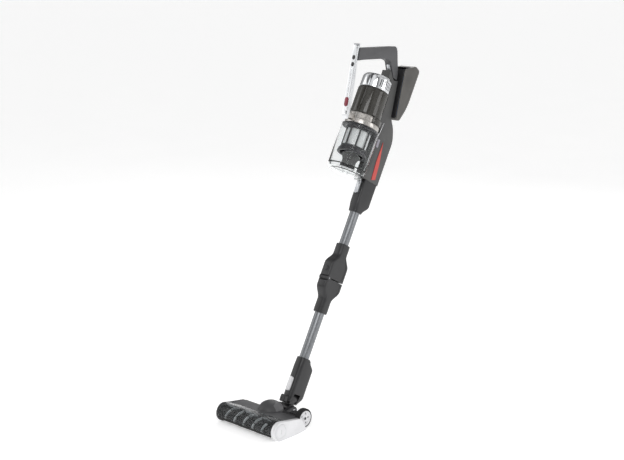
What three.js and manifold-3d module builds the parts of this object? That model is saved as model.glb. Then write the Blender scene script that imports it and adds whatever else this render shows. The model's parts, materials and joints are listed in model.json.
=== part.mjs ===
// Cordless stick vacuum with a folding wand, standing on its floor head.
// Millimetres, +Z up. The head's front is towards -Y and its roller lies along X.
// The origin is on the floor, at the middle of the pile strip under the head.
import * as THREE from 'three';
import { mergeVertices } from 'three/addons/utils/BufferGeometryUtils.js';
import Module from 'manifold-3d';

// ---------------------------------------------------------------- driving dimensions
const gap = 0.3;                     // between pieces that touch
const slack = 0.4;                   // round buttons and other pieces that slide

const headHalf = 111;                // half the length of the roller housing
const rollerY = -30;                 // roller axis
const rollerZ = 28;
const brushRadius = 25.4;            // to the bristle tips
const coreRadius = 17;               // roller core
const chamberRadius = 26.6;          // inside of the roller chamber
const windowWall = 1.6;
const coverFront = -1;               // top cover, front and rear edges
const coverRear = 59.4;
const coverFrontZ = 50.5;
const coverRearZ = 42.5;
const coverWall = 3;
const rearWallY = 56.3;              // rear face of the head housing
const housingFloor = 4.2;
const capRightWall = 13.7;           // side caps, along X
const capLeftWall = 8;
const endCapRadius = 22;             // round cap over the roller's end
const humpHalf = 38;                 // hump over the neck, half width and rise
const humpTop = 70;
const humpY = 50;

const wheelRadius = 29;              // big wheel at the right rear
const wheelWidth = 20;
const wheelInner = 84;               // x of the wheel's inner face
const wheelY = 92;
const axleRadius = 4;
const castorRadius = 12;             // small wheel under the left rear corner
const castorX = -94;
const castorY = 40;

const motorRadius = 15;              // roller motor
const motorY = 28;
const motorZ = 22;
const beltX = 91;                    // plane of the toothed belt
const beltWidth = 8;
const rollerPulleyRadius = 12;
const motorPulleyRadius = 6;
const beltThickness = 1.6;

const pivotY = 118;                  // neck pitch axis
const pivotZ = 28;
const lean = THREE.MathUtils.degToRad(28.6);  // wand from vertical, at rest
const knuckleRadius = 15;
const swivelHeight = 32;             // swivel pin above the pitch axis, along the wand

const tubeRadius = 15;               // aluminium tubes
const tubeWall = 1.4;
const socketRadius = tubeRadius + gap;
const airwayRadius = 12;
const shellHalf = 18;                // half width of the moulded connectors

const connectorTop = 158;            // lower connector, along the wand
const connectorRear = 44;
const connectorFront = 20;
const connectorSocket = 100;         // where the tube stops inside it

const foldBottom = 303;              // folding joint
const foldTop = 524;
const foldPivot = 409;
const foldDepth = 40;                // half depth of the bulge
const collarDepth = 19.6;
const foldBarrel = 8;
const foldPivotFront = 30;           // fold axis ahead of the wand axis
const foldSeam = 1.5;                // each half stops this far from the seam
const foldInsert = 24;               // tube inside each collar

const handheldBottom = 631;          // moulded socket at the foot of the handheld unit
const handheldInsert = 40;
const spineBottom = 735;
const spineHalf = 17;
const spineFront = 34;
const spineRear = 40;
const spineWall = 2.5;

const cycloneOffset = 102.7;         // bin and motor axis ahead of the wand axis
const binRadius = 60;
const binWall = 2.4;
const binBottom = 739;
const binTop = 868;
const lidDepth = 16;
const lidHingeZ = 727;
const lidHingeFront = 38;
const shroudRadius = 41;
const skirtRadius = 45;
const shroudBottom = 795;
const shroudTop = 861;
const ringRadius = 54;
const ringTop = 905;
const motorHousingRadius = 49;
const motorHousingTop = 993;
const capRadius = 47;
const capSideTop = 1027;
const capTop = 1041;
const capWall = 2.5;
const ventSlits = 9;                 // in each group
const ventPitch = 8.25;              // degrees

const stripWidth = 18;               // bright front strip of the handle
const stripDepth = 10;
const stripLength = 224;
const stripFoot = { y: -190, z: 868 };
const stripLean = THREE.MathUtils.degToRad(14.9);
const handleHalf = 13;
const batteryHalf = 32;
const batteryWall = 3;

// ---------------------------------------------------------------- solids
const wasm = await Module();
wasm.setup();

// A closed geometry with outward faces, as a solid that can be joined and cut.
function toSolid(geometry) {
  const bare = geometry.clone();
  bare.deleteAttribute('normal');
  bare.deleteAttribute('uv');
  const merged = mergeVertices(bare, 1e-4);
  const points = Float32Array.from(merged.attributes.position.array);
  const corner = (index) => new THREE.Vector3().fromArray(points, index * 3);
  const triangles = [];
  let volume = 0;
  for (let i = 0; i < merged.index.count; i += 3) {
    const [a, b, c] = [0, 1, 2].map((step) => merged.index.array[i + step]);
    if (a === b || b === c || c === a) continue;
    triangles.push([a, b, c]);
    volume += corner(a).dot(corner(b).cross(corner(c)));
  }
  const faces = volume < 0 ? triangles.map(([a, b, c]) => [a, c, b]) : triangles;
  return new wasm.Manifold(new wasm.Mesh({
    numProp: 3,
    vertProperties: points,
    triVerts: Uint32Array.from(faces.flat()),
  }));
}

function toGeometry(solid) {
  const mesh = solid.getMesh();
  const geometry = new THREE.BufferGeometry();
  geometry.setAttribute('position', new THREE.BufferAttribute(mesh.vertProperties, 3));
  geometry.setIndex(new THREE.BufferAttribute(mesh.triVerts, 1));
  geometry.computeVertexNormals();
  return geometry;
}

const join = (...solids) => solids.reduce((whole, next) => whole.add(next));
const cut = (whole, ...tools) => tools.reduce((rest, tool) => rest.subtract(tool), whole);

function box(x0, x1, y0, y1, z0, z1) {
  const geometry = new THREE.BoxGeometry(x1 - x0, y1 - y0, z1 - z0);
  geometry.translate((x0 + x1) / 2, (y0 + y1) / 2, (z0 + z1) / 2);
  return toSolid(geometry);
}

function outline(points) {
  return new THREE.Shape(points.map(([u, v]) => new THREE.Vector2(u, v)));
}

function extruded(points, depth, bevel) {
  return new THREE.ExtrudeGeometry(outline(points), {
    depth: depth - 2 * bevel,
    bevelEnabled: bevel > 0,
    bevelThickness: bevel,
    bevelSize: bevel,
    bevelOffset: -bevel,
    bevelSegments: 1,
    curveSegments: 8,
  }).translate(0, 0, bevel);
}

// Outlines drawn in (y, z), (x, z) or (x, y), pushed along the third axis.
function plateX(points, x0, x1, bevel = 0) {
  const turn = new THREE.Matrix4().makeBasis(
    new THREE.Vector3(0, 1, 0), new THREE.Vector3(0, 0, 1), new THREE.Vector3(1, 0, 0));
  return toSolid(extruded(points, x1 - x0, bevel).applyMatrix4(turn).translate(x0, 0, 0));
}

function plateY(points, y0, y1, bevel = 0) {
  const turn = new THREE.Matrix4().makeBasis(
    new THREE.Vector3(1, 0, 0), new THREE.Vector3(0, 0, 1), new THREE.Vector3(0, -1, 0));
  return toSolid(extruded(points, y1 - y0, bevel).applyMatrix4(turn).translate(0, y1, 0));
}

function plateZ(points, z0, z1, bevel = 0) {
  return toSolid(extruded(points, z1 - z0, bevel).translate(0, 0, z0));
}

// A ring of points on an arc, in degrees.
function arc(cu, cv, radius, from, to, steps) {
  return Array.from({ length: steps + 1 }, (_, i) => {
    const angle = THREE.MathUtils.degToRad(from + ((to - from) * i) / steps);
    return [cu + radius * Math.cos(angle), cv + radius * Math.sin(angle)];
  });
}

const circle = (cu, cv, radius, steps) => arc(cu, cv, radius, 0, 360 - 360 / steps, steps - 1);
const rodX = (radius, x0, x1, y, z, steps = 16) => plateX(circle(y, z, radius, steps), x0, x1);
const rodY = (radius, y0, y1, x, z, steps = 16) => plateY(circle(x, z, radius, steps), y0, y1);
const rodZ = (radius, z0, z1, x, y, steps = 20) => plateZ(circle(x, y, radius, steps), z0, z1);

function stadium(cu, cv, halfU, halfV, steps = 5) {
  const radius = Math.min(halfU, halfV);
  const reach = halfV - radius;
  return [
    ...arc(cu, cv + reach, radius, 0, 180, steps),
    ...arc(cu, cv - reach, radius, 180, 360, steps),
  ];
}

// Turned about a vertical axis at (x, y); the profile is a closed loop of [radius, z].
function turnedZ(profile, y = 0, steps = 32) {
  const loop = [...profile, profile[0]].map(([u, v]) => new THREE.Vector2(u, v));
  return toSolid(new THREE.LatheGeometry(loop, steps).rotateX(Math.PI / 2).translate(0, y, 0));
}

// Turned about an axis along X; the profile is a closed loop of [radius, x].
function turnedX(profile, y, z, steps = 32) {
  const loop = [...profile, profile[0]].map(([u, v]) => new THREE.Vector2(u, v));
  return toSolid(new THREE.LatheGeometry(loop, steps).rotateZ(-Math.PI / 2).translate(0, y, z));
}

// A moulded column along Z through rounded rectangles of [z, half width, front, rear, corner].
function column(sections, steps = 3) {
  const rings = sections.map(([z, half, front, rear, corner]) => [
    ...arc(half - corner, rear - corner, corner, 0, 90, steps),
    ...arc(-half + corner, rear - corner, corner, 90, 180, steps),
    ...arc(-half + corner, -front + corner, corner, 180, 270, steps),
    ...arc(half - corner, -front + corner, corner, 270, 360, steps),
  ].map(([x, y]) => [x, y, z]));
  return loft(rings);
}

// Skins a list of rings with the same number of points and closes both ends.
function loft(rings) {
  const count = rings[0].length;
  const middle = (ring) => ring.reduce((sum, p) => sum.map((v, k) => v + p[k] / count), [0, 0, 0]);
  const points = [...rings.flat(), middle(rings[0]), middle(rings.at(-1))];
  const first = rings.length * count;
  const index = [];
  for (let i = 0; i < count; i += 1) {
    const next = (i + 1) % count;
    for (let ring = 0; ring + 1 < rings.length; ring += 1) {
      const low = ring * count;
      const high = low + count;
      index.push(low + i, low + next, high + next, low + i, high + next, high + i);
    }
    const last = (rings.length - 1) * count;
    index.push(first, next, i, first + 1, last + i, last + next);
  }
  const geometry = new THREE.BufferGeometry();
  geometry.setAttribute('position', new THREE.Float32BufferAttribute(points.flat(), 3));
  geometry.setIndex(index);
  return toSolid(geometry);
}

const pipeZ = (outer, inner, z0, z1, steps = 24) =>
  turnedZ([[inner, z0], [outer, z0], [outer, z1], [inner, z1]], 0, steps);

// ---------------------------------------------------------------- scene
const vacuum = new THREE.Group();
const head = new THREE.Group();
const wand = new THREE.Group();
wand.position.set(0, pivotY, pivotZ);
wand.rotation.x = -lean;
vacuum.add(head, wand);

const finishes = {
  headBlack: { color: 0x262628, roughness: 0.5, metalness: 0 },
  coverGrey: { color: 0x444446, roughness: 0.45, metalness: 0 },
  connectorBlack: { color: 0x242426, roughness: 0.35, metalness: 0 },
  handleGrey: { color: 0x58585a, roughness: 0.5, metalness: 0 },
  spineGrey: { color: 0x4a4a4c, roughness: 0.45, metalness: 0 },
  gloss: { color: 0xf2f2f2, roughness: 0.25, metalness: 0 },
  rubber: { color: 0x1a1a1b, roughness: 0.85, metalness: 0 },
  bristle: { color: 0x303033, roughness: 0.9, metalness: 0 },
  pile: { color: 0x3a3a3c, roughness: 0.95, metalness: 0 },
  steel: { color: 0xb9bbbd, roughness: 0.3, metalness: 1 },
  aluminium: { color: 0x8d8f92, roughness: 0.35, metalness: 1 },
  chrome: { color: 0xd9dbdd, roughness: 0.12, metalness: 1 },
  clear: { color: 0xdfe5e6, roughness: 0.05, metalness: 0, transparent: true, opacity: 0.3 },
  smoked: { color: 0x3c3b38, roughness: 0.15, metalness: 0 },
  mesh: { color: 0xd8dadb, roughness: 0.5, metalness: 0.4 },
  red: { color: 0xc8423e, roughness: 0.35, metalness: 0 },
  darkRed: { color: 0x7c1c30, roughness: 0.3, metalness: 0 },
  filter: { color: 0xe4e2da, roughness: 0.95, metalness: 0 },
  board: { color: 0x1d5a3a, roughness: 0.6, metalness: 0 },
  cell: { color: 0x3f6fae, roughness: 0.4, metalness: 0 },
  buttonGrey: { color: 0xc9cacd, roughness: 0.3, metalness: 0 },
};

function place(parent, name, solid, finish) {
  const mesh = new THREE.Mesh(toGeometry(solid), new THREE.MeshStandardMaterial(finishes[finish]));
  mesh.name = name;
  parent.add(mesh);
}

// ---------------------------------------------------------------- floor head
const slope = (coverRearZ - coverFrontZ) / (coverRear - coverFront);
const coverUnder = (y) => coverFrontZ - coverWall + slope * (y - coverFront);

function headHousing() {
  const topAt = (y) => coverUnder(y) - gap;
  const body = plateX([
    [-8, housingFloor], [rearWallY, housingFloor], [rearWallY, topAt(rearWallY)],
    [coverFront + 1, topAt(coverFront + 1)], [-8, topAt(0) - 2],
  ], -headHalf, headHalf);
  const beamTop = 36;
  const beam = box(-34, wheelInner - 2, rearWallY - 5, 84, 14, beamTop);
  const axleBoss = box(50, wheelInner - 2, 80, wheelY + 11, wheelRadius - 11, wheelRadius + 10);
  const arm = (x0, x1) => plateX([
    [60, 16], ...arc(pivotY, pivotZ, 12, -90, 90, 8), [60, beamTop - 1],
  ], x0, x1);
  const whole = join(body, beam, axleBoss, arm(20.5, 32), arm(-32, -20.5));
  return cut(whole,
    rodX(chamberRadius, -headHalf - 1, headHalf + 1, rollerY, rollerZ, 40),
    box(24, 80, 4, 50, -1, 38.4),
    box(-80, -24, 4, 50, -1, 36),
    box(castorX - 10, castorX + 10, castorY - 14, castorY + 13, -1, 28),
    box(beltX - 7, beltX + 7, -20, 38, -1, 38.5),
    rodX(4, 79, 85, motorY, motorZ),
    rodY(13, -10, 90, 0, 26, 20),
    rodX(5.3, -40, 40, pivotY, pivotZ),
    rodX(axleRadius + gap, 59.7, 90, wheelY, wheelRadius));
}

function topCover() {
  const plate = plateX([
    [coverFront, coverUnder(coverFront)], [rearWallY + gap, coverUnder(rearWallY)],
    [rearWallY + gap, 26], [coverRear, 26], [coverRear, coverRearZ - 1.4],
    [coverRear - 1.4, coverRearZ], [coverFront, coverFrontZ],
  ], -headHalf, headHalf);
  const dome = (inset) => toSolid(new THREE.SphereGeometry(1, 20, 10)
    .scale(humpHalf - inset, humpHalf + 4 - inset, humpTop - 36 - inset)
    .translate(0, humpY, 36));
  const openRear = box(-60, 60, 84, 200, 0, 100);
  const below = box(-60, 60, -20, 200, 0, 40);
  const housingSpace = plateX([
    [-20, 0], [-20, coverUnder(-20)], [rearWallY + gap, coverUnder(rearWallY)], [rearWallY + gap, 0],
  ], -60, 60);
  const hump = cut(dome(0), openRear, below, housingSpace);
  const beamSpace = box(-34.6, wheelInner - 1.4, 50, 90, 0, 36.4);
  return cut(join(plate, hump), dome(3), beamSpace);
}

function rollerWindow() {
  const outer = chamberRadius + gap + windowWall;
  const inner = chamberRadius + gap;
  const rearY = coverFront - gap;
  return plateX([
    ...arc(rollerY, rollerZ, outer, 203, 80, 16), [rearY, coverFrontZ],
    [rearY, coverFrontZ - 2.4], ...arc(rollerY, rollerZ, inner, 76, 203, 16),
  ], -headHalf, headHalf);
}

function rightCap() {
  const inner = headHalf + gap;
  const plate = plateX([
    ...arc(rollerY, rollerZ + 0.4, 28, 270, 90, 16), [8, coverFrontZ + 1],
    [53, coverRearZ + 1.6], [62, 34], [72, 20], [80, 3], [60, 1.4],
  ], inner, inner + capRightWall);
  const taper = plateZ([[headHalf + 16, 5], [inner + 6.5, 90], [headHalf + 30, 90]], -5, 80);
  const recess = rodX(endCapRadius + slack, inner + capRightWall - 3.6, 140, rollerY, rollerZ, 32);
  return cut(plate, taper, recess);
}

function leftCap() {
  const inner = headHalf + gap;
  return plateX([
    ...arc(rollerY, rollerZ + 0.4, 28, 270, 90, 16), [coverFront, coverFrontZ + 0.6],
    [54, coverRearZ + 0.8], [59, 38], [59, 20], [50, 4],
  ], -inner - capLeftWall, -inner, 1.2);
}

function endCap() {
  const face = headHalf + gap + capRightWall + 1.2;
  const back = face - 4.5;
  const r = endCapRadius;
  return turnedX([
    [0, back], [r, back], [r, face - 1], [r - 1, face], [r - 2.4, face], [r - 2.8, face - 0.9],
    [r - 4, face - 0.9], [r - 4.4, face], [0, face],
  ], rollerY, rollerZ, 32);
}

// Roller core with helical brush strips, ending in a stub shaft at each side.
function brushRoller() {
  const [x0, x1] = [-103, beltX - 8];
  const lobes = 6;
  const rings = 13;
  const quarterTurns = 0.42;
  const half = [0.2, 0.13];
  const ringAt = (i) => {
    const share = i / (rings - 1);
    const x = x0 + (x1 - x0) * share;
    const spin = share * quarterTurns * Math.PI;
    return Array.from({ length: lobes }, (_, lobe) => {
      const middle = spin + (lobe * 2 * Math.PI) / lobes;
      return [[-half[0], coreRadius], [-half[1], brushRadius], [half[1], brushRadius], [half[0], coreRadius]]
        .map(([turn, radius]) => [x, rollerY + radius * Math.cos(middle + turn),
          rollerZ + radius * Math.sin(middle + turn)]);
    }).flat();
  };
  const strips = loft(Array.from({ length: rings }, (_, i) => ringAt(i)));
  const shaft = rodX(axleRadius, -110.8, 110.8, rollerY, rollerZ);
  return join(strips, shaft);
}

const ringX = (outer, inner, x0, x1, y, z, steps = 20) =>
  turnedX([[inner, x0], [outer, x0], [outer, x1], [inner, x1]], y, z, steps);

// The two straight runs leave both pulleys on the line that touches them.
function beltOutline(rollerRadius, motorRadiusAtBelt) {
  const span = Math.hypot(motorY - rollerY, motorZ - rollerZ);
  const tilt = THREE.MathUtils.radToDeg(Math.atan2(motorZ - rollerZ, motorY - rollerY));
  const open = THREE.MathUtils.radToDeg(Math.acos((rollerRadius - motorRadiusAtBelt) / span));
  return [
    ...arc(rollerY, rollerZ, rollerRadius, tilt + open, tilt + 360 - open, 14),
    ...arc(motorY, motorZ, motorRadiusAtBelt, tilt - open, tilt + open, 10),
  ];
}

function driveBelt() {
  const [x0, x1] = [beltX - beltWidth / 2, beltX + beltWidth / 2];
  const seat = beltThickness + gap;
  return cut(
    plateX(beltOutline(rollerPulleyRadius + seat, motorPulleyRadius + seat), x0, x1),
    plateX(beltOutline(rollerPulleyRadius + gap, motorPulleyRadius + gap), x0 - 1, x1 + 1));
}

function headMotor() {
  return join(
    rodX(motorRadius, 27, 74, motorY, motorZ, 24),
    rodX(motorRadius - 6, 73, 77, motorY, motorZ),
    rodX(2.5, 76, beltX + 6, motorY, motorZ, 12));
}

function wheelTyre() {
  const [x0, x1] = [wheelInner, wheelInner + wheelWidth];
  const inner = wheelRadius - 5.5;
  return turnedX([
    [inner, x0], [wheelRadius - 2, x0], [wheelRadius, x0 + 3], [wheelRadius, x1 - 3],
    [wheelRadius - 2, x1], [inner, x1],
  ], wheelY, wheelRadius, 32);
}

function wheelHub() {
  const rim = wheelRadius - 5.5 - gap;
  const [x0, x1] = [wheelInner + 1, wheelInner + wheelWidth];
  const bore = axleRadius + gap;
  const disc = turnedX([
    [bore, x0 + 6], [bore, x1 - 1], [8, x1 - 1], [9, x1 - 3], [rim - 4, x1 - 3], [rim - 3, x1],
    [rim, x1], [rim, x0], [rim - 3, x0], [rim - 3, x0 + 6],
  ], wheelY, wheelRadius, 28);
  const holes = Array.from({ length: 5 }, (_, i) => {
    const angle = (i / 5) * 2 * Math.PI;
    const [y, z] = [wheelY + 14.5 * Math.cos(angle), wheelRadius + 14.5 * Math.sin(angle)];
    return rodX(3.4, x0, x1 + 1, y, z, 10);
  });
  return cut(disc, ...holes);
}

function castor() {
  const r = castorRadius;
  return turnedX([
    [0, castorX - 9], [2, castorX - 9], [2, castorX - 6], [r - 1, castorX - 6], [r, castorX - 5],
    [r, castorX + 5], [r - 1, castorX + 6], [2, castorX + 6], [2, castorX + 9], [0, castorX + 9],
  ], castorY, r, 24);
}

function solePlate() {
  return cut(
    box(-107, 107, 5.5, 55, 1.2, housingFloor - gap),
    box(castorX - 10, castorX + 10, castorY - 14, castorY + 20, 0, 5));
}

const headPieces = [
  ['head_housing', headHousing(), 'headBlack'],
  ['top_cover', topCover(), 'coverGrey'],
  ['roller_window', rollerWindow(), 'clear'],
  ['side_cap_right', rightCap(), 'gloss'],
  ['side_cap_left', leftCap(), 'headBlack'],
  ['roller_end_cap', endCap(), 'gloss'],
  ['sole_plate', solePlate(), 'headBlack'],
  ['pile_strip', box(-105, 105, -5, 5, 0, housingFloor - gap), 'pile'],
  ['brush_roller', brushRoller(), 'bristle'],
  ['roller_pulley',
    ringX(rollerPulleyRadius, axleRadius + gap, beltX - 5, beltX + 5, rollerY, rollerZ), 'rubber'],
  ['head_motor', headMotor(), 'steel'],
  ['motor_pulley', ringX(motorPulleyRadius, 2.8, beltX - 5, beltX + 5, motorY, motorZ), 'steel'],
  ['drive_belt', driveBelt(), 'rubber'],
  ['suction_duct', turnedZ([[11, 2], [12.6, 2], [12.6, 98], [11, 98]], 0, 20)
    .rotate([-90, 0, 0]).translate([0, 0, 26]), 'headBlack'],
  ['wheel_axle', rodX(axleRadius, 60, wheelInner + wheelWidth - 2, wheelY, wheelRadius), 'steel'],
  ['wheel_tyre', wheelTyre(), 'rubber'],
  ['wheel_hub', wheelHub(), 'gloss'],
  ['castor_wheel', castor(), 'rubber'],
  ['neck_pin', rodX(5, -32.5, 32.5, pivotY, pivotZ), 'steel'],
];
headPieces.forEach(([name, solid, finish]) => place(head, name, solid, finish));

// ---------------------------------------------------------------- neck and lower connector
// From here on z runs up the wand and y points to its rear, from the neck's pitch axis.
const tongueFront = -6.8;
const tongueRear = 20;
const cheekRadius = 16.5;
const pinRadius = 4.5;

function neckKnuckle() {
  const barrel = rodX(knuckleRadius, -20.2, 20.2, 0, 0, 28);
  const neck = box(-11, 11, tongueFront, knuckleRadius - 1, 4, swivelHeight);
  const eye = rodY(14, tongueFront, tongueRear, 0, swivelHeight, 24);
  return cut(join(barrel, neck, eye),
    rodX(5 + gap, -30, 30, 0, 0),
    rodY(pinRadius + gap, -30, 50, 0, swivelHeight));
}

function lowerConnector() {
  const [front, rear, half] = [connectorFront, connectorRear, shellHalf];
  const shell = column([
    [15, half - 6, front, 30, 8], [24, half - 3, front, rear - 4, 10], [44, half, front, rear, 12],
    [128, half, front, rear, 12], [150, half, front, 26, 12], [connectorTop, half - 0.5, 19, 19, 14],
  ]);
  const slot = box(-30, 30, tongueFront - gap, tongueRear + gap, 0, swivelHeight + 15.3);
  const cheeks = cut(box(-40, 40, -60, 60, 0, swivelHeight + 4),
    rodY(cheekRadius, -61, 61, 0, swivelHeight, 32), box(-40, 40, -61, 61, swivelHeight, 60));
  return cut(shell, slot, cheeks,
    rodZ(socketRadius, connectorSocket, 170, 0, 0),
    rodZ(airwayRadius, 30, connectorSocket + 1, 0, 0, 20),
    rodY(pinRadius + gap, -30, 60, 0, swivelHeight),
    plateY(stadium(0, 72, 6 + slack, 22 + slack), -40, -14.2));
}

function swivelPin() {
  return join(
    rodY(pinRadius, -26, connectorRear - 5, 0, swivelHeight),
    plateY(stadium(0, swivelHeight - 7, 10, 11), -33, -connectorFront - gap, 1.5));
}

place(wand, 'neck_knuckle', neckKnuckle(), 'connectorBlack');
place(wand, 'swivel_pin', swivelPin(), 'connectorBlack');
place(wand, 'lower_connector', lowerConnector(), 'connectorBlack');
place(wand, 'nozzle_release_button', plateY(stadium(0, 72, 6, 22), -28, -17.5, 1.2), 'gloss');
const tube = (z0, z1) => pipeZ(tubeRadius, tubeRadius - tubeWall, z0, z1, 28);
place(wand, 'lower_tube', tube(connectorSocket + 1, foldBottom + foldInsert), 'aluminium');

// ---------------------------------------------------------------- folding joint
const foldY = -foldPivotFront;
const centreKnuckle = 7;
const latchRear = 31;

// The wedge each half gives up in front of the fold axis, a little over half a quarter turn.
const wedgeSlope = 1.08;
const foldWedge = (side) => plateX([
  [foldY + gap, foldPivot], [-60, foldPivot + side * wedgeSlope * (60 + foldY)], [-60, foldPivot],
], -30, 30);

function foldLower() {
  const seam = foldPivot - foldSeam;
  const shell = column([
    [foldBottom, shellHalf - 0.5, collarDepth - 1, collarDepth - 1, 11],
    [foldBottom + 4, shellHalf, collarDepth, collarDepth, 12],
    [345, shellHalf, collarDepth, collarDepth, 12], [378, shellHalf, foldDepth - 2, foldDepth - 2, 7],
    [385, shellHalf, foldDepth, foldDepth, 6], [seam, shellHalf, foldDepth, foldDepth, 6],
  ]);
  const knuckle = rodX(foldBarrel, -centreKnuckle, centreKnuckle, foldY, foldPivot, 20);
  const room = (x0, x1) => rodX(foldBarrel + slack, x0, x1, foldY, foldPivot, 20);
  const open = cut(shell, foldWedge(-1),
    room(centreKnuckle, 30), room(-30, -centreKnuckle),
    rodZ(socketRadius, foldBottom - 5, foldBottom + foldInsert + 1, 0, 0),
    rodZ(airwayRadius, foldBottom + foldInsert, foldPivot + 5, 0, 0),
    box(-7, 7, 25.5, 33.4, 392, foldPivot + 2));
  return cut(join(open, knuckle), rodX(2.5, -30, 30, foldY, foldPivot));
}

function foldUpper() {
  const seam = foldPivot + foldSeam;
  const shell = column([
    [seam, shellHalf, foldDepth, foldDepth, 6], [455, shellHalf, foldDepth, foldDepth, 6],
    [461, shellHalf, foldDepth - 2, foldDepth - 2, 7], [490, shellHalf, collarDepth, collarDepth, 12],
    [foldTop - 4, shellHalf, collarDepth, collarDepth, 12],
    [foldTop, shellHalf - 0.5, collarDepth - 1, collarDepth - 1, 11],
  ]);
  const knuckle = (x0, x1) => rodX(foldBarrel, x0, x1, foldY, foldPivot, 20);
  const inner = centreKnuckle + gap;
  const open = cut(shell, foldWedge(1),
    rodX(foldBarrel + slack, -inner, inner, foldY, foldPivot, 20),
    rodZ(socketRadius, foldTop - foldInsert - 1, foldTop + 5, 0, 0),
    rodZ(airwayRadius, foldPivot - 5, foldTop - foldInsert, 0, 0),
    box(-6.4, 6.4, 26.6, latchRear + slack, foldPivot - 5, 431),
    plateY(stadium(0, 437, 7 + slack, 9 + slack), -50, -35));
  return cut(join(open, knuckle(inner, shellHalf), knuckle(-shellHalf, -inner)),
    rodX(2.5, -30, 30, foldY, foldPivot));
}

place(wand, 'fold_lower_shell', foldLower(), 'connectorBlack');
place(wand, 'fold_upper_shell', foldUpper(), 'connectorBlack');
place(wand, 'fold_pin', rodX(2.2, -17.5, 17.5, foldY, foldPivot, 12), 'steel');
place(wand, 'fold_release_button', plateY(stadium(0, 437, 7, 9), -41.5, -37.8, 0.8), 'headBlack');
place(wand, 'fold_latch', plateX([
  [27, 395], [latchRear, 395], [latchRear, 430], [27, 430], [27, 403], [28.6, 401],
], -6, 6), 'steel');
place(wand, 'upper_tube', tube(foldTop - foldInsert, handheldBottom + handheldInsert), 'aluminium');

// ---------------------------------------------------------------- handheld unit: socket and spine
function wandSocket() {
  const shell = column([
    [handheldBottom, shellHalf - 0.5, 19, 19, 11], [handheldBottom + 8, shellHalf, 22, 28, 12],
    [664, shellHalf, 22, spineRear, 9], [spineBottom - gap, spineHalf, 23, spineRear, 7],
  ]);
  return cut(shell,
    rodZ(socketRadius, handheldBottom - 5, handheldBottom + handheldInsert + 1, 0, 0),
    rodZ(airwayRadius, handheldBottom + handheldInsert, spineBottom + 5, 0, 0),
    plateY(stadium(0, 708, 6.5 + slack, 22 + slack), -50, -16.2));
}

const spineOutline = (inset) => [
  [-spineFront + inset, spineBottom + inset], [spineRear - inset, spineBottom + inset],
  [spineRear - inset, 885 - inset / 2], [22 - inset * 0.8, 922 - inset * 0.8],
  [-6 - inset, 949 - inset * 0.5], [-31 - inset, 1060 - inset], [-52 - inset, 1053 - inset],
  [-79 + inset, 1076 - inset * 2.4], [-77 + inset, 1046 + inset], [-52.8 + inset, 1043 + inset],
  [-52.8 + inset, 909 + inset], [-spineFront + inset, 898 + inset],
];

function spineShell(side) {
  const [x0, x1] = side > 0 ? [0.15, spineHalf] : [-spineHalf, -0.15];
  const hollow = side > 0 ? [-1, spineHalf - spineWall] : [-spineHalf + spineWall, 1];
  const whole = plateX(spineOutline(0), -spineHalf, spineHalf, 2);
  return cut(whole, plateX(spineOutline(spineWall), ...hollow),
    box(side > 0 ? -60 : x1, side > 0 ? x0 : 60, -200, 200, 600, 1200));
}

function redStripe(side) {
  const face = spineHalf + gap;
  const [x0, x1] = side > 0 ? [face, face + 1] : [-face - 1, -face];
  return plateX([[2, 742], [19, 748], [13, 800], [-3, 866], [-4, 800]], x0, x1);
}

place(wand, 'wand_socket', wandSocket(), 'connectorBlack');
place(wand, 'wand_release_button', plateY(stadium(0, 708, 6.5, 22), -30, -19.5, 1.2), 'buttonGrey');
place(wand, 'spine_shell_right', spineShell(1), 'spineGrey');
place(wand, 'spine_shell_left', spineShell(-1), 'spineGrey');
place(wand, 'red_stripe_right', redStripe(1), 'red');
place(wand, 'red_stripe_left', redStripe(-1), 'red');
place(wand, 'control_board', box(-0.8, 0.8, -24, 30, 800, 878), 'board');
place(wand, 'bin_latch', box(spineHalf + gap, spineHalf + 2.8, -31, -21, 840, 866), 'buttonGrey');

// ---------------------------------------------------------------- dust bin and cyclone
const axisY = -cycloneOffset;
const hingeY = -lidHingeFront;

function binCup() {
  const [inner, outer] = [binRadius - binWall, binRadius];
  const wall = turnedZ([[inner, binBottom], [outer, binBottom], [outer, binTop], [inner, binTop]], axisY, 36);
  const rib = box(-7, 7, -46, -spineFront - 1, binBottom + 12, 860);
  const lug = (x0, x1) => join(
    box(x0, x1, -42.3, -spineFront - 1.2, lidHingeZ, binBottom + 24), rodX(3.4, x0, x1, hingeY, lidHingeZ, 12));
  const inside = rodZ(inner, binBottom - 30, binTop + 5, 0, axisY, 36);
  return cut(join(wall, cut(rib, inside), lug(6.3, 12), lug(-12, -6.3)),
    rodX(1.6, -20, 20, hingeY, lidHingeZ, 8));
}

function binLid() {
  const top = binBottom - gap;
  const bottom = top - lidDepth;
  const r = binRadius;
  const dish = turnedZ([
    [0, bottom], [r - 12, bottom], [r - 4, bottom + 4], [r, bottom + 11], [r, top], [r - 3, top],
    [r - 4, bottom + 12], [r - 7, bottom + 7], [r - 13, bottom + 4], [0, bottom + 4],
  ], axisY, 36);
  const lug = join(
    box(-6, 6, -48, hingeY, lidHingeZ - 2, lidHingeZ + 2),
    rodX(3.4, -6, 6, hingeY, lidHingeZ, 12));
  return cut(join(dish, lug), rodX(1.6, -20, 20, hingeY, lidHingeZ, 8));
}

function cycloneFrame() {
  const r = shroudRadius;
  const frame = turnedZ([
    [r - 3.4, shroudBottom - 13], [skirtRadius + 2, shroudBottom - 13], [skirtRadius, shroudBottom - 2],
    [r, shroudBottom + 4], [r, shroudTop], [binRadius - binWall - 0.6, shroudTop],
    [binRadius - binWall - 0.6, binTop], [r - 3.4, binTop],
  ], axisY, 32);
  const windows = Array.from({ length: 8 }, (_, i) =>
    box(r - 8, r + 8, -12, 12, shroudBottom + 9, shroudTop - 6)
      .rotate([0, 0, i * 45 + 22.5]).translate([0, axisY, 0]));
  return cut(frame, ...windows);
}

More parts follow.
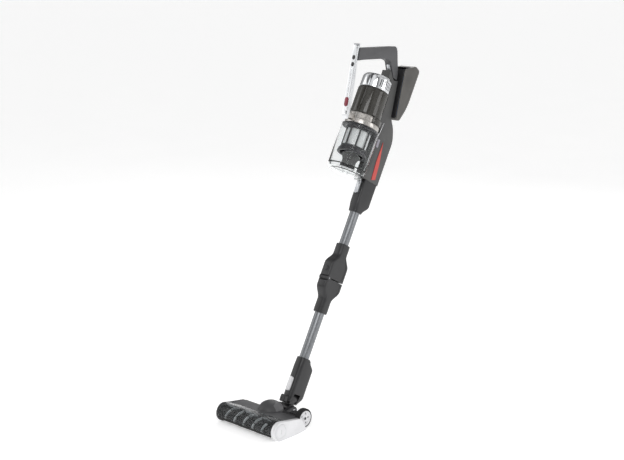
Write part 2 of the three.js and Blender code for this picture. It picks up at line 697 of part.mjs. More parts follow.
const coneProfile = [
  [20, binBottom + 4], [22, binBottom + 4], [22, 764], [30, shroudBottom - 14], [28, shroudBottom - 14],
  [20, 765],
];
place(wand, 'bin_cup', binCup(), 'clear');
place(wand, 'bin_lid', binLid(), 'clear');
place(wand, 'cyclone_frame', cycloneFrame(), 'headBlack');
place(wand, 'shroud_mesh', turnedZ([
  [34.8, shroudBottom], [36.9, shroudBottom], [36.9, binTop - 1], [34.8, binTop - 1],
], axisY, 32), 'mesh');
place(wand, 'cyclone_cone', turnedZ(coneProfile, axisY, 28), 'spineGrey');

// ---------------------------------------------------------------- motor unit
function collarRing() {
  const bottom = binTop + 2;
  const ring = turnedZ([
    [47, bottom], [ringRadius, bottom], [ringRadius, bottom + 14], [ringRadius - 1.6, bottom + 16],
    [ringRadius - 1.6, ringTop - 3], [ringRadius - 4, ringTop], [47, ringTop],
  ], axisY, 36);
  const bracket = box(-8, 8, stripFoot.y + 12.8, axisY - ringRadius + 4, bottom + 4, bottom + 22);
  return join(ring, bracket);
}

function motorHousing() {
  const [outer, inner] = [motorHousingRadius, motorHousingRadius - 3];
  const bottom = ringTop + gap;
  return turnedZ([
    [18, bottom], [outer - 2, bottom], [outer, bottom + 3], [outer, motorHousingTop],
    [inner, motorHousingTop], [inner, bottom + 4], [18, bottom + 4],
  ], axisY, 36);
}

function suctionMotor() {
  return turnedZ([
    [0, 912], [26, 912], [30, 916], [30, 952], [24, 956], [3, 956], [3, 984], [0, 984],
  ], axisY, 28);
}

function impeller() {
  const hub = turnedZ([[3.3, 960], [36, 960], [36, 962], [12, 965], [8, 980], [3.3, 980]], axisY, 28);
  const blades = Array.from({ length: 9 }, (_, i) =>
    plateX([[8, 961], [35, 961], [34, 966], [9, 977]], -0.8, 0.8)
      .rotate([0, 0, i * 40]).translate([0, axisY, 0]));
  return join(hub, ...blades);
}

function filterCap() {
  const bottom = motorHousingTop + gap;
  const [r, w] = [capRadius, capWall];
  const shell = turnedZ([
    [r - w, bottom], [r, bottom], [r, capSideTop], [r - 1.6, capSideTop + 4], [r - 6, capTop - 4],
    [r - 16, capTop - 1], [0, capTop], [0, capTop - w], [r - 17, capTop - w - 1], [r - 8, capTop - w - 4],
    [r - w - 1, capSideTop + 2], [r - w, capSideTop - 1],
  ], axisY, 36);
  // Two groups of vent slits, one each side of the cap.
  const slits = [0, 180].flatMap((side) => Array.from({ length: ventSlits }, (_, i) =>
    box(r - 5, r + 4, -1.3, 1.3, bottom + 7, capSideTop - 3)
      .rotate([0, 0, side + (i - (ventSlits - 1) / 2) * ventPitch]).translate([0, axisY, 0])));
  return cut(shell, ...slits);
}

place(wand, 'collar_ring', collarRing(), 'chrome');
place(wand, 'motor_housing', motorHousing(), 'smoked');
place(wand, 'suction_motor', suctionMotor(), 'steel');
place(wand, 'impeller', impeller(), 'buttonGrey');
place(wand, 'filter_element', turnedZ([[20, 996], [41, 996], [41, 1022], [20, 1022]], axisY, 28), 'filter');
place(wand, 'filter_cap', filterCap(), 'chrome');

// ---------------------------------------------------------------- handle
// The strip has its own frame: z runs up it, y = 0 is its front face.
const strip = new THREE.Group();
strip.position.set(0, stripFoot.y, stripFoot.z);
strip.rotation.x = stripLean;
wand.add(strip);

const buttons = [
  ['red_button', 47, 7, 14, 'darkRed'],
  ['mode_button_lower', 160, 5, 6.5, 'headBlack'],
  ['mode_button_upper', 181, 5, 6.5, 'headBlack'],
];

function frontStrip() {
  const body = plateX([
    [0, 6], [0, stripLength - 8], [2, stripLength], [stripDepth, stripLength], [stripDepth, 150],
    [stripDepth + 4, 112], [stripDepth + 4, 4], [7, -5],
  ], -stripWidth / 2, stripWidth / 2, 1.5);
  const recesses = buttons.map(([, z, halfX, halfZ]) =>
    plateY(stadium(0, z, halfX + slack, halfZ + slack), -5, 4.4));
  return cut(body, ...recesses);
}

place(strip, 'front_strip', frontStrip(), 'chrome');
buttons.forEach(([name, z, halfX, halfZ, finish]) => {
  place(strip, name, plateY(stadium(0, z, halfX, halfZ), -1.4, 2.2, 0.5), finish);
});

// The trigger lies along the inner face of the handle's rear post.
const triggerPlace = { y: -69, z: 1081.5, lean: Math.atan2(34, 37) };
const trigger = new THREE.Group();
trigger.position.set(0, triggerPlace.y, triggerPlace.z);
trigger.rotation.x = triggerPlace.lean;
wand.add(trigger);
const triggerHalf = 17;

function handleShell(side) {
  const whole = plateX([
    [-234.1, 1075], [-150, 1119.3], [-89, 1151], [-77, 1146], [-57, 1112], [-43, 1092],
    [-32.4, 1061.5], [-52, 1061.5], [-88, 1100.5], [-112, 1098], [-150, 1078.6], [-205, 1050],
    [-224.3, 1038.5],
  ], -handleHalf, handleHalf, 4);
  const room = box(-6 - slack, 6 + slack, -8, 7.6, -triggerHalf - slack, triggerHalf + slack)
    .rotate([THREE.MathUtils.radToDeg(triggerPlace.lean), 0, 0])
    .translate([0, triggerPlace.y, triggerPlace.z]);
  const other = side > 0 ? box(-60, 0.15, -400, 200, 900, 1300) : box(-0.15, 60, -400, 200, 900, 1300);
  return cut(whole, room, other);
}

place(wand, 'handle_shell_right', handleShell(1), 'handleGrey');
place(wand, 'handle_shell_left', handleShell(-1), 'handleGrey');
place(trigger, 'trigger', plateX(stadium(0.2, 0, 3.6, triggerHalf), -6, 6, 1), 'buttonGrey');

// ---------------------------------------------------------------- battery pack
const railBottom = [-1, 950];
const railTop = [-35, 1100];
const shifted = ([y, z], by) => [y + by, z + by * 0.23];

function batteryCase() {
  const front = batteryWall + gap;
  const outer = plateX([
    shifted(railBottom, front), [20, 945], [37, 1000], [37, 1126], [12, 1132], shifted(railTop, front),
  ], -batteryHalf, batteryHalf, 3);
  const inner = plateX([
    [-30, 958], [19, 951], [34, 1001], [34, 1122], [13, 1127.5], [-60, 1095],
  ], -batteryHalf + 3, batteryHalf - 3);
  const releaseRoom = box(-9 - slack, 9 + slack, 16 - slack, 30 + slack, 1124, 1140);
  return cut(outer, inner, releaseRoom);
}

function cellPack() {
  const lower = [-18.2, 0, 18.2].map((x) => rodZ(9.2, 962, 1024.6, x, 10.5, 14));
  const upper = [-18.2, 0, 18.2].flatMap((x) => [rodZ(9.2, 1024.4, 1090, x, 4, 14),
    rodZ(9.2, 1024.4, 1090, x, 22, 14)]);
  return join(...lower, ...upper);
}

place(wand, 'battery_case', batteryCase(), 'spineGrey');
place(wand, 'battery_cover', plateX([
  railBottom, shifted(railBottom, batteryWall), shifted(railTop, batteryWall), railTop,
], -batteryHalf + 4, batteryHalf - 4), 'headBlack');
place(wand, 'battery_cells', cellPack(), 'cell');
place(wand, 'battery_release', box(-9, 9, 16, 30, 1125.5, 1131.4), 'headBlack');

export default vacuum;
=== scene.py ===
import json
import math
import bmesh
import bpy
from mathutils import Matrix, Vector


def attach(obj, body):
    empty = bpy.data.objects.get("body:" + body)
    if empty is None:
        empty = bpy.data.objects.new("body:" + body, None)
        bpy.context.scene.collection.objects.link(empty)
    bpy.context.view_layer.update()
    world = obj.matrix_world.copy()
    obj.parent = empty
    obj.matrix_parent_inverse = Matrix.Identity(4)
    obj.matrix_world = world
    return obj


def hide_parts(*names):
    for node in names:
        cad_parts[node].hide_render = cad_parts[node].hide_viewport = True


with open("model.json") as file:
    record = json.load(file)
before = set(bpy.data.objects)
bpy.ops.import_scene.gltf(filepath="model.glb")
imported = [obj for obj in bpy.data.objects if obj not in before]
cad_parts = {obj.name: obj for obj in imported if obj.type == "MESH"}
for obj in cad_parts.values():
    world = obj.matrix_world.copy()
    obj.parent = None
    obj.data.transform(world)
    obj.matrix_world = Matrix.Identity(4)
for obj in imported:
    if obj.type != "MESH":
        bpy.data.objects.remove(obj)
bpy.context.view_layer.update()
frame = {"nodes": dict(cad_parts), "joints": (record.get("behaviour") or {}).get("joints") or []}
scene = bpy.context.scene
print("frame loaded:", len(frame["nodes"]), "nodes")

# Pieces are modelled in millimetres, in the head's, the wand's or the strip's own axes, then placed.
joints = {joint["name"]: joint for joint in frame["joints"]}
millimetre = 0.001
headPlace = Matrix.Scale(millimetre, 4)


def wandMatrix():
    up = Vector(joints["wand_pull_off"]["axis"]).normalized()
    side = Vector((1, 0, 0))
    turn = Matrix((side, up.cross(side), up)).transposed().to_4x4()
    return Matrix.Translation(joints["neck_pitch"]["pos_m"]) @ turn @ headPlace


def leant(place, y, z, degrees):
    return place @ Matrix.Translation((0, y, z)) @ Matrix.Rotation(math.radians(degrees), 4, "X")


wandPlace = wandMatrix()
stripPlace = leant(wandPlace, -190, 868, 14.9)
triggerPlace = leant(wandPlace, -69, 1081.5, math.degrees(math.atan2(34, 37)))


# ---- camera, lamps and floor
view = {
    "azimuth": 43.6,          # degrees round to the right of the head's front
    "elevation": 12.4,
    "distance": 3.605,
    "aim": (0, 0.2289, 0.557),
    "lens": 70,
    "sensor": 36,
}

lamps = {
    # name: place, size, power in watts
    "keyLamp": ((2.2, -2.4, 2.8), 1.6, 30),
    "fillLamp": ((-2.6, -1.6, 1.7), 2.2, 14),
    "backLamp": ((-0.8, 2.8, 2.4), 1.8, 20),
    "sideLamp": ((3.0, 1.4, 1.2), 1.2, 10),
}

# The studio wall as the glossy parts see it: share of a turn, brightness.
studioWall = [
    (0.00, 0.55), (0.06, 1.25), (0.15, 0.18), (0.20, 0.9), (0.30, 1.3), (0.40, 0.25),
    (0.46, 1.1), (0.60, 0.5), (0.68, 1.2), (0.78, 0.12), (0.84, 1.3), (0.93, 0.35), (1.00, 0.55),
]
floorFinish = {"colour": "#fafafa", "glow": 0.42, "side": 400}
wallStrength = 0.72


def lookFrom(place, target):
    return (Vector(target) - Vector(place)).to_track_quat("-Z", "Y").to_euler()


def makeCamera():
    turn, rise = math.radians(view["azimuth"]), math.radians(view["elevation"])
    away = Vector((math.sin(turn) * math.cos(rise), -math.cos(turn) * math.cos(rise), math.sin(rise)))
    place = Vector(view["aim"]) + view["distance"] * away
    data = bpy.data.cameras.new("camera")
    data.lens = view["lens"]
    data.sensor_width = view["sensor"]
    data.clip_end = 900
    camera = bpy.data.objects.new("camera", data)
    camera.location = place
    camera.rotation_euler = lookFrom(place, view["aim"])
    scene.collection.objects.link(camera)
    scene.camera = camera


def makeLamps():
    for name, (place, size, power) in lamps.items():
        data = bpy.data.lights.new(name, "AREA")
        data.energy = power
        data.size = size
        lamp = bpy.data.objects.new(name, data)
        lamp.location = place
        lamp.rotation_euler = lookFrom(place, (0, 0.2, 0.5))
        scene.collection.objects.link(lamp)


# ---- nodes and colours
def hexColour(text):
    channels = [int(text[i:i + 2], 16) / 255 for i in (1, 3, 5)]
    linear = [c / 12.92 if c <= 0.04045 else ((c + 0.055) / 1.055) ** 2.4 for c in channels]
    return (*linear, 1)


def addNode(tree, kind, inputs=None, **settings):
    node = tree.nodes.new(kind)
    for key, value in settings.items():
        setattr(node, key, value)
    for socket, value in (inputs or {}).items():
        if isinstance(value, bpy.types.NodeSocket):
            tree.links.new(value, node.inputs[socket])
        else:
            node.inputs[socket].default_value = value
    return node


def setStops(ramp, stops):
    while len(ramp.elements) < len(stops):
        ramp.elements.new(1)
    for element, (position, colour) in zip(ramp.elements, stops):
        element.position = position
        element.color = colour


def makeWorld():
    world = bpy.data.worlds.new("studio")
    world.use_nodes = True
    tree = world.node_tree
    background = tree.nodes["Background"]
    direction = tree.nodes.new("ShaderNodeTexCoord").outputs["Generated"]
    round_ = addNode(tree, "ShaderNodeTexGradient", {"Vector": direction}, gradient_type="RADIAL")
    wall = addNode(tree, "ShaderNodeValToRGB", {"Fac": round_.outputs["Fac"]})
    wall.color_ramp.interpolation = "EASE"
    setStops(wall.color_ramp, [(place, (value, value, value, 1)) for place, value in studioWall])
    seen = tree.nodes.new("ShaderNodeLightPath").outputs["Is Camera Ray"]
    backdrop = 1.0 / wallStrength
    colour = addNode(tree, "ShaderNodeMix", {0: seen, 6: wall.outputs["Color"],
                                             7: (backdrop, backdrop, backdrop, 1)}, data_type="RGBA")
    tree.links.new(colour.outputs[2], background.inputs["Color"])
    background.inputs["Strength"].default_value = wallStrength
    scene.world = world
    scene.view_settings.view_transform = "Standard"


makeCamera()
makeLamps()
makeWorld()
print("camera, lamps and studio ready")


# ---- materials
def startMaterial(name, **constants):
    material = bpy.data.materials.new(name)
    material.use_nodes = True
    tree = material.node_tree
    shader = tree.nodes["Principled BSDF"]
    for socket, value in constants.items():
        shader.inputs[socket.replace("_", " ")].default_value = value
    place = tree.nodes.new("ShaderNodeTexCoord").outputs["Object"]
    return material, tree, shader, place


def perMetre(size):
    return 1000 / size     # texture scale for a feature of that many millimetres


def mottleColour(tree, shader, place, dark, light, size):
    # a slow drift between two shades
    patch = addNode(tree, "ShaderNodeTexNoise", {"Vector": place, "Scale": perMetre(size), "Detail": 3.0})
    ramp = addNode(tree, "ShaderNodeValToRGB", {"Fac": patch.outputs["Fac"]})
    setStops(ramp.color_ramp, [(0.35, hexColour(dark)), (0.65, hexColour(light))])
    tree.links.new(ramp.outputs["Color"], shader.inputs["Base Color"])


def wipeRoughness(tree, shader, place, smooth, rough, size):
    # patches left by wiping and handling
    wipe = addNode(tree, "ShaderNodeTexNoise", {"Vector": place, "Scale": perMetre(size), "Detail": 4.0})
    span = addNode(tree, "ShaderNodeMapRange", {"Value": wipe.outputs["Fac"], "To Min": smooth,
                                                "To Max": rough})
    tree.links.new(span.outputs["Result"], shader.inputs["Roughness"])


def grainSurface(tree, shader, place, size, depth, strength=1.0):
    grain = addNode(tree, "ShaderNodeTexNoise", {"Vector": place, "Scale": perMetre(size), "Detail": 2.0})
    relief = addNode(tree, "ShaderNodeBump", {"Height": grain.outputs["Fac"], "Strength": strength,
                                              "Distance": depth * millimetre})
    tree.links.new(relief.outputs["Normal"], shader.inputs["Normal"])


# Moulded plastics: dark and light of the slow mottle, roughness range, grain width and depth in mm.
plastics = {
    # ABS moulded in a spark-eroded tool: an even fine grain that greys the highlights
    "mouldedAbsBlack": ("#242426", "#2c2c2e", 0.42, 0.56, 0.9, 0.035, 0.0),
    "mouldedAbsCharcoal": ("#3c3c3e", "#454547", 0.40, 0.54, 0.9, 0.035, 0.0),
    "mouldedAbsSaddleGrey": ("#5f5f61", "#69696b", 0.40, 0.52, 0.9, 0.03, 0.0),
    "mouldedAbsHandleGrey": ("#4c4c4e", "#555557", 0.42, 0.55, 0.8, 0.03, 0.0),
    "mouldedAbsSpineGrey": ("#464647", "#50504f", 0.38, 0.52, 0.8, 0.03, 0.0),
    # ABS from a satin polished tool: softer, wider highlights and almost no grain
    "satinAbsBlack": ("#1b1b1d", "#232325", 0.26, 0.40, 1.6, 0.012, 0.05),
    "satinAbsBattery": ("#4c4a48", "#585653", 0.28, 0.42, 1.6, 0.012, 0.05),
    "satinAbsDark": ("#202022", "#28282a", 0.30, 0.44, 1.6, 0.012, 0.0),
    # ABS from a mirror polished tool: a clear coat-like gloss and faint cloudiness
    "glossAbsWhite": ("#dfdfe1", "#e9e9eb", 0.12, 0.22, 6.0, 0.006, 0.35),
    "glossAbsBlack": ("#101011", "#161618", 0.10, 0.20, 5.0, 0.006, 0.3),
    "glossAbsRed": ("#74182b", "#861f35", 0.12, 0.22, 5.0, 0.006, 0.3),
    "acetalLilacGrey": ("#9b98a2", "#a9a6b0", 0.34, 0.46, 1.2, 0.015, 0.0),   # moulded acetal, waxy
    # rubber moulded against an eroded tool: dull and slightly dusty
    "mouldedRubber": ("#161617", "#212122", 0.72, 0.88, 1.1, 0.05, 0.0),
}


def makePlastic(name, dark, light, smooth, rough, grain, depth, coat):
    material, tree, shader, place = startMaterial(name, IOR=1.53, Coat_Weight=coat, Coat_Roughness=0.08)
    mottleColour(tree, shader, place, dark, light, 60)
    wipeRoughness(tree, shader, place, smooth, rough, 22)
    grainSurface(tree, shader, place, grain, depth)
    return material


# Metals: dark and light, roughness range, direction of the fine lines as scales in mm along x, y, z.
metals = {
    # aluminium tube, drawn, brushed along its length and anodised: long faint streaks
    "brushedAnodisedAluminium": ("#77797c", "#929497", 0.30, 0.42, (1.2, 1.2, 90), 0.01),
    # ABS plated in bright chrome: a mirror with a very slight ripple
    "chromePlate": ("#d6d8da", "#e6e7e9", 0.05, 0.11, (60, 60, 60), 0.002),
    # ABS plated in satin nickel: soft reflections
    "satinNickelPlate": ("#aeaaa6", "#c2bfbb", 0.22, 0.34, (3, 3, 60), 0.01),
    "paintedSilver": ("#bfc1c5", "#cfd1d4", 0.26, 0.36, (2, 2, 2), 0.01),   # metallic paint, flaky
    "turnedSteel": ("#a3a5a8", "#bcbec0", 0.22, 0.38, (0.8, 8, 8), 0.01),   # turned steel, ring marks
    "drawnSteelCan": ("#84868a", "#9c9ea1", 0.30, 0.45, (12, 2, 2), 0.01),  # zinc plated deep drawn can
}


def makeMetal(name, dark, light, smooth, rough, lines, depth):
    material, tree, shader, place = startMaterial(name, Metallic=1.0)
    along = addNode(tree, "ShaderNodeMapping", {"Vector": place, "Rotation": (math.radians(-28.6), 0, 0),
                                                "Scale": tuple(perMetre(size) for size in lines)})
    place = along.outputs["Vector"]      # sizes now come from lines, so the steps get a metre
    mottleColour(tree, shader, place, dark, light, 1000)
    wipeRoughness(tree, shader, place, smooth, rough, 1000)
    grainSurface(tree, shader, place, 1000, depth)
    return material


# Clear plastics: dark and light tint, transmission, roughness range, index, depth of the flow marks.
clears = {
    # injection moulded and thin, so it hardly bends what is behind it
    "clearPolycarbonate": ("#f4f6f6", "#fafbfb", 1.0, 0.01, 0.04, 1.16, 0.006),
    # tinted in the mass, dark where it is thick
    "smokedPolycarbonate": ("#45433e", "#4c4a45", 0.45, 0.08, 0.16, 1.5, 0.01),
    # clear, with scuffs from furniture
    "windowPolycarbonate": ("#dfe2e3", "#eaeced", 0.98, 0.02, 0.05, 1.16, 0.006),
}


def makeClear(name, dark, light, transmission, smooth, rough, index, depth):
    material, tree, shader, place = startMaterial(name, Transmission_Weight=transmission, IOR=index)
    mottleColour(tree, shader, place, dark, light, 35)
    wipeRoughness(tree, shader, place, smooth, rough, 12)
    grainSurface(tree, shader, place, 35, depth)
    return material


# Fibres and small parts: dark and light, roughness, grain in mm, depth, sheen.
fibres = {
    "nylonBristle": ("#0e0e0f", "#1c1c1e", 0.7, 0.5, 0.15, 0.02),     # extruded filaments in tufts
    # fleece for the roller's cut pile, and the dark of the painted shade sleeve behind the cap's slits
    "fleeceAndShadeBlack": ("#0c0c0d", "#1a1b1c", 0.95, 1.2, 0.4, 0.1),       # cut pile on the roller
    "wovenStripGrey": ("#a9abad", "#c8cacb", 0.85, 0.9, 0.2, 0.2),     # woven grey pile strip
    "pileStripBlack": ("#1b1b1d", "#323234", 0.95, 0.8, 0.3, 0.3),     # woven seal under the head
    "pleatedPaper": ("#d9d6cc", "#ebe9e2", 0.9, 0.6, 0.05, 0.0),       # resin treated filter paper
    "solderMaskGreen": ("#17442c", "#1f5a3b", 0.35, 2.5, 0.02, 0.0),   # lacquered circuit board
    "cellWrapBlue": ("#355f98", "#4673ae", 0.3, 8.0, 0.01, 0.0),       # shrunk vinyl sleeve on the cells
}


def makeFibre(name, dark, light, rough, grain, depth, sheen):
    material, tree, shader, place = startMaterial(name, Sheen_Weight=sheen)
    mottleColour(tree, shader, place, dark, light, grain)
    wipeRoughness(tree, shader, place, rough - 0.04, rough + 0.04, 6)
    grainSurface(tree, shader, place, grain, depth)
    return material


def makeRedFilm():
    # hot stamped film: a vivid red that turns to orange where the foil was stretched
    material, tree, shader, place = startMaterial("hotStampedFilmRed", Coat_Weight=0.3, Coat_Roughness=0.1)
    mottleColour(tree, shader, place, "#b8323e", "#c9463a", 45)
    wipeRoughness(tree, shader, place, 0.25, 0.38, 9)
    grainSurface(tree, shader, place, 1.5, 0.01)
    return material


def makeSieve():
    # stainless sheet with etched holes 1.5 mm apart; the holes are not cut, and the dark seen through them is
    # painted shade, as fine grey dots on a pale sheet
    material, tree, shader, place = startMaterial("etchedSieve", Metallic=0.25)
    wipeRoughness(tree, shader, place, 0.36, 0.48, 20)
    holes = addNode(tree, "ShaderNodeTexVoronoi", {"Vector": place, "Scale": perMetre(1.5),
                                                   "Randomness": 0.15})
    # painted shade: grey where the holes are, pale sheet between
    ramp = addNode(tree, "ShaderNodeValToRGB", {"Fac": holes.outputs["Distance"]})
    setStops(ramp.color_ramp, [(0.22, hexColour("#8f9092")), (0.42, hexColour("#eceded"))])
    tree.links.new(ramp.outputs["Color"], shader.inputs["Base Color"])
    relief = addNode(tree, "ShaderNodeBump", {"Height": holes.outputs["Distance"], "Strength": 0.5,
                                              "Distance": 0.1 * millimetre})
    tree.links.new(relief.outputs["Normal"], shader.inputs["Normal"])
    return material


materials = {}
for name, values in plastics.items():
    materials[name] = makePlastic(name, *values)
for name, values in metals.items():
    materials[name] = makeMetal(name, *values)
for name, values in clears.items():
    materials[name] = makeClear(name, *values)
for name, values in fibres.items():
    materials[name] = makeFibre(name, *values)
materials["hotStampedFilmRed"] = makeRedFilm()
materials["etchedSieve"] = makeSieve()
print("materials:", len(materials))


# ---- modelling tools, all in millimetres
def only(geometry, kind):
    return [part for part in geometry if isinstance(part, kind)]


def shift(bm, vec):
    bmesh.ops.translate(bm, verts=bm.verts[:], vec=vec)


def swing(bm, angle, axis):
    bmesh.ops.rotate(bm, verts=bm.verts[:], cent=(0, 0, 0), matrix=Matrix.Rotation(angle, 3, axis))


def softenCorners(bm, verts, radius, segments=4):
    bmesh.ops.bevel(bm, geom=verts, offset=radius, offset_type="OFFSET", segments=segments,
                    profile=0.5, affect="VERTICES", material=-1, clamp_overlap=True)


def drawFace(bm, points, corner, segments=4):
    # corner is one radius, or a radius for each point
    verts = [bm.verts.new(point) for point in points]
    bm.faces.new(verts)
    radii = corner if isinstance(corner, (list, tuple)) else [corner] * len(verts)
    for radius in sorted(set(radii) - {0}):
        softenCorners(bm, [v for v, r in zip(verts, radii) if r == radius], radius, segments)


def onAxis(points, level, axis):
    if axis == "X":
        return [(level, u, v) for u, v in points]
    if axis == "Y":
        return [(u, level, v) for u, v in points]
    return [(u, v, level) for u, v in points]


def plate(points, low, high, corner=0, edge=0, axis="X", segments=4):
    bm = bmesh.new()
    drawFace(bm, onAxis(points, low, axis), corner, segments)
    grown = bmesh.ops.extrude_face_region(bm, geom=bm.faces[:])
    along = Vector({"X": (1, 0, 0), "Y": (0, 1, 0), "Z": (0, 0, 1)}[axis])
    bmesh.ops.translate(bm, verts=only(grown["geom"], bmesh.types.BMVert), vec=along * (high - low))
    bmesh.ops.recalc_face_normals(bm, faces=bm.faces[:])
    if edge:
        rims = [e for e in bm.edges if sum(abs(f.normal.dot(along)) > 0.99 for f in e.link_faces) == 1]
        bmesh.ops.bevel(bm, geom=rims, offset=edge, offset_type="OFFSET", segments=3, profile=0.5,
                        affect="EDGES", material=-1, clamp_overlap=True)
    return bm


def capsule(u, v, halfU, halfV):
    return [(u - halfU, v - halfV), (u + halfU, v - halfV), (u + halfU, v + halfV), (u - halfU, v + halfV)]


def button(u, v, halfU, halfV, low, high, edge=0):
    # an upright button with round ends, pushed along Y
    return plate(capsule(u, v, halfU, halfV), low, high, min(halfU, halfV) - 0.02, edge, "Y", 10)


def turned(profile, y=0, z=0, axis="Z", soft=0.5, steps=96, turn=360, start=0):
    # profile is a closed loop of (radius, height), drawn clockwise or not
    bm = bmesh.new()
    verts = [bm.verts.new((r, 0, h)) for r, h in profile]
    bm.faces.new(verts)
    corners = [v for v in verts if v.co.x > 0.01]
    if soft:
        softenCorners(bm, corners, soft, 3)
    full = turn == 360
    if full:
        bmesh.ops.delete(bm, geom=bm.faces[:], context="FACES_ONLY")
    edges = [e for e in bm.edges if max(v.co.x for v in e.verts) > 0.01]
    geom = bm.verts[:] + edges + bm.faces[:]
    swing(bm, math.radians(start), "Z")
    bmesh.ops.spin(bm, geom=geom, cent=(0, 0, 0), axis=(0, 0, 1), dvec=(0, 0, 0), angle=math.radians(turn),
                   steps=steps, use_merge=full)
    bmesh.ops.delete(bm, geom=[e for e in bm.edges if not e.link_faces], context="EDGES")
    bmesh.ops.delete(bm, geom=[v for v in bm.verts if not v.link_edges], context="VERTS")
    bmesh.ops.remove_doubles(bm, verts=bm.verts[:], dist=0.001)
    bmesh.ops.recalc_face_normals(bm, faces=bm.faces[:])
    if axis == "X":
        swing(bm, math.pi / 2, "Y")
    if axis == "Y":
        bmesh.ops.rotate(bm, verts=bm.verts[:], cent=(0, 0, 0), matrix=Matrix.Rotation(-math.pi / 2, 3, "X"))
    shift(bm, (0, y, z))
    return bm


def rod(radius, low, high, y=0, z=0, axis="X", x=0, steps=64, tip=None):
    bm = bmesh.new()
    turnTo = {"X": Matrix.Rotation(math.pi / 2, 4, "Y"), "Y": Matrix.Rotation(-math.pi / 2, 4, "X"),
              "Z": Matrix.Identity(4)}[axis]
    middle = (low + high) / 2
    centre = {"X": (middle, y, z), "Y": (x, middle, z), "Z": (x, y, middle)}[axis]
    bmesh.ops.create_cone(bm, cap_ends=True, segments=steps, radius1=radius, radius2=tip or radius,
                          depth=high - low, matrix=Matrix.Translation(centre) @ turnTo)
    return bm


def block(x0, x1, y0, y1, z0, z1):
    bm = bmesh.new()
    size = Matrix.Diagonal((x1 - x0, y1 - y0, z1 - z0, 1))
    centre = Matrix.Translation(((x0 + x1) / 2, (y0 + y1) / 2, (z0 + z1) / 2))
    bmesh.ops.create_cube(bm, size=1, matrix=centre @ size)
    return bm


def flare(start, end, steps=8):
    # sections between two, easing out of one and into the other
    rows = []
    for i in range(1, steps):
        share = i / steps
        ease = share * share * (3 - 2 * share)
        level = start[0] + (end[0] - start[0]) * share
        rows.append((level, *(a + (b - a) * ease for a, b in zip(start[1:], end[1:]))))
    return rows


def column(sections, edge=1.0):
    # rounded rectangles of (z, half width, front, rear, corner), bridged from foot to head
    bm = bmesh.new()
    for level, half, front, rear, corner in sections:
        drawFace(bm, onAxis([(-half, -front), (half, -front), (half, rear), (-half, rear)], level, "Z"),
                 corner, 8)
    first, last = sections[0][0], sections[-1][0]
    middle = [f for f in bm.faces if first + 0.01 < f.verts[0].co.z < last - 0.01]
    bmesh.ops.delete(bm, geom=middle, context="FACES_ONLY")
    for low, high in zip(sections, sections[1:]):
        loops = [e for e in bm.edges if all(abs(v.co.z - e.verts[0].co.z) < 0.001 for v in e.verts)
                 and min(abs(e.verts[0].co.z - low[0]), abs(e.verts[0].co.z - high[0])) < 0.001]
        bmesh.ops.bridge_loops(bm, edges=loops)
    bmesh.ops.recalc_face_normals(bm, faces=bm.faces[:])
    rims = [e for e in bm.edges if sum(len(f.verts) > 4 for f in e.link_faces) == 1]
    if edge:
        bmesh.ops.bevel(bm, geom=rims, offset=edge, offset_type="OFFSET", segments=3, profile=0.5,
                        affect="EDGES", material=-1, clamp_overlap=True)
    return bm


def dome(centre, halves, segments=72, rings=40):
    bm = bmesh.new()
    bmesh.ops.create_uvsphere(bm, u_segments=segments, v_segments=rings, radius=1,
                              matrix=Matrix.Translation(centre) @ Matrix.Diagonal((*halves, 1)))
    return bm


def turnedCopies(bm, count, first, step, y=0):
    # repeats a shape about the vertical axis at y
    source = bm.verts[:] + bm.edges[:] + bm.faces[:]
    centre = (0, y, 0)
    bmesh.ops.rotate(bm, verts=bm.verts[:], cent=centre, matrix=Matrix.Rotation(math.radians(first), 3, "Z"))
    for i in range(1, count):
        copied = bmesh.ops.duplicate(bm, geom=source)
        bmesh.ops.rotate(bm, verts=only(copied["geom"], bmesh.types.BMVert), cent=centre,
                         matrix=Matrix.Rotation(math.radians(step * i), 3, "Z"))
    return bm


def together(*parts):
    # loose shapes in one mesh, for cutters and for pieces that only touch
    whole = bmesh.new()
    for part in parts:
        mesh = bpy.data.meshes.new("part")
        part.to_mesh(mesh)
        part.free()
        whole.from_mesh(mesh)
        bpy.data.meshes.remove(mesh)
    return whole


def toObject(bm, name="work"):
    mesh = bpy.data.meshes.new(name)
    bm.to_mesh(mesh)
    bm.free()
    made = bpy.data.objects.new(name, mesh)
    scene.collection.objects.link(made)
    return made


def combine(whole, parts, operation):
    if isinstance(whole, bmesh.types.BMesh):
        whole = toObject(whole)
    tools = [toObject(part) if isinstance(part, bmesh.types.BMesh) else part for part in parts]
    for tool in tools:
        step = whole.modifiers.new("step", "BOOLEAN")
        step.operation = operation
        step.solver = "EXACT"
        step.object = tool
    shape = bpy.data.meshes.new_from_object(whole.evaluated_get(bpy.context.evaluated_depsgraph_get()))
    whole.modifiers.clear()
    old = whole.data
    whole.data = shape
    bpy.data.meshes.remove(old)
    for tool in tools:
        spent = tool.data
        bpy.data.objects.remove(tool)
        bpy.data.meshes.remove(spent)
    return whole


def carve(whole, *tools):
    return combine(whole, tools, "DIFFERENCE")


def weld(whole, *others):
    return combine(whole, others, "UNION")


def finish(shape, name, place, material, body, nodes=(), edge=0, sharp=32):
    made = toObject(shape) if isinstance(shape, bmesh.types.BMesh) else shape
    made.name = name
    mesh = made.data
    mesh.name = name
    bm = bmesh.new()
    bm.from_mesh(mesh)
    bmesh.ops.transform(bm, matrix=place, verts=bm.verts[:])
    bmesh.ops.remove_doubles(bm, verts=bm.verts[:], dist=0.02 * millimetre)
    bmesh.ops.dissolve_degenerate(bm, dist=0.01 * millimetre, edges=bm.edges[:])
    bm.to_mesh(mesh)
    bm.free()
    mesh.materials.clear()
    mesh.materials.append(materials[material])
    mesh.shade_smooth()
    mesh.set_sharp_from_angle(angle=math.radians(sharp))
    if edge:
        rounding = made.modifiers.new("edges", "BEVEL")
        rounding.width = edge * millimetre
        rounding.segments = 2
        rounding.limit_method = "ANGLE"
        rounding.angle_limit = math.radians(sharp)
        rounding.use_clamp_overlap = True
    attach(made, body)
    if nodes:
        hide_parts(*nodes)
    return made


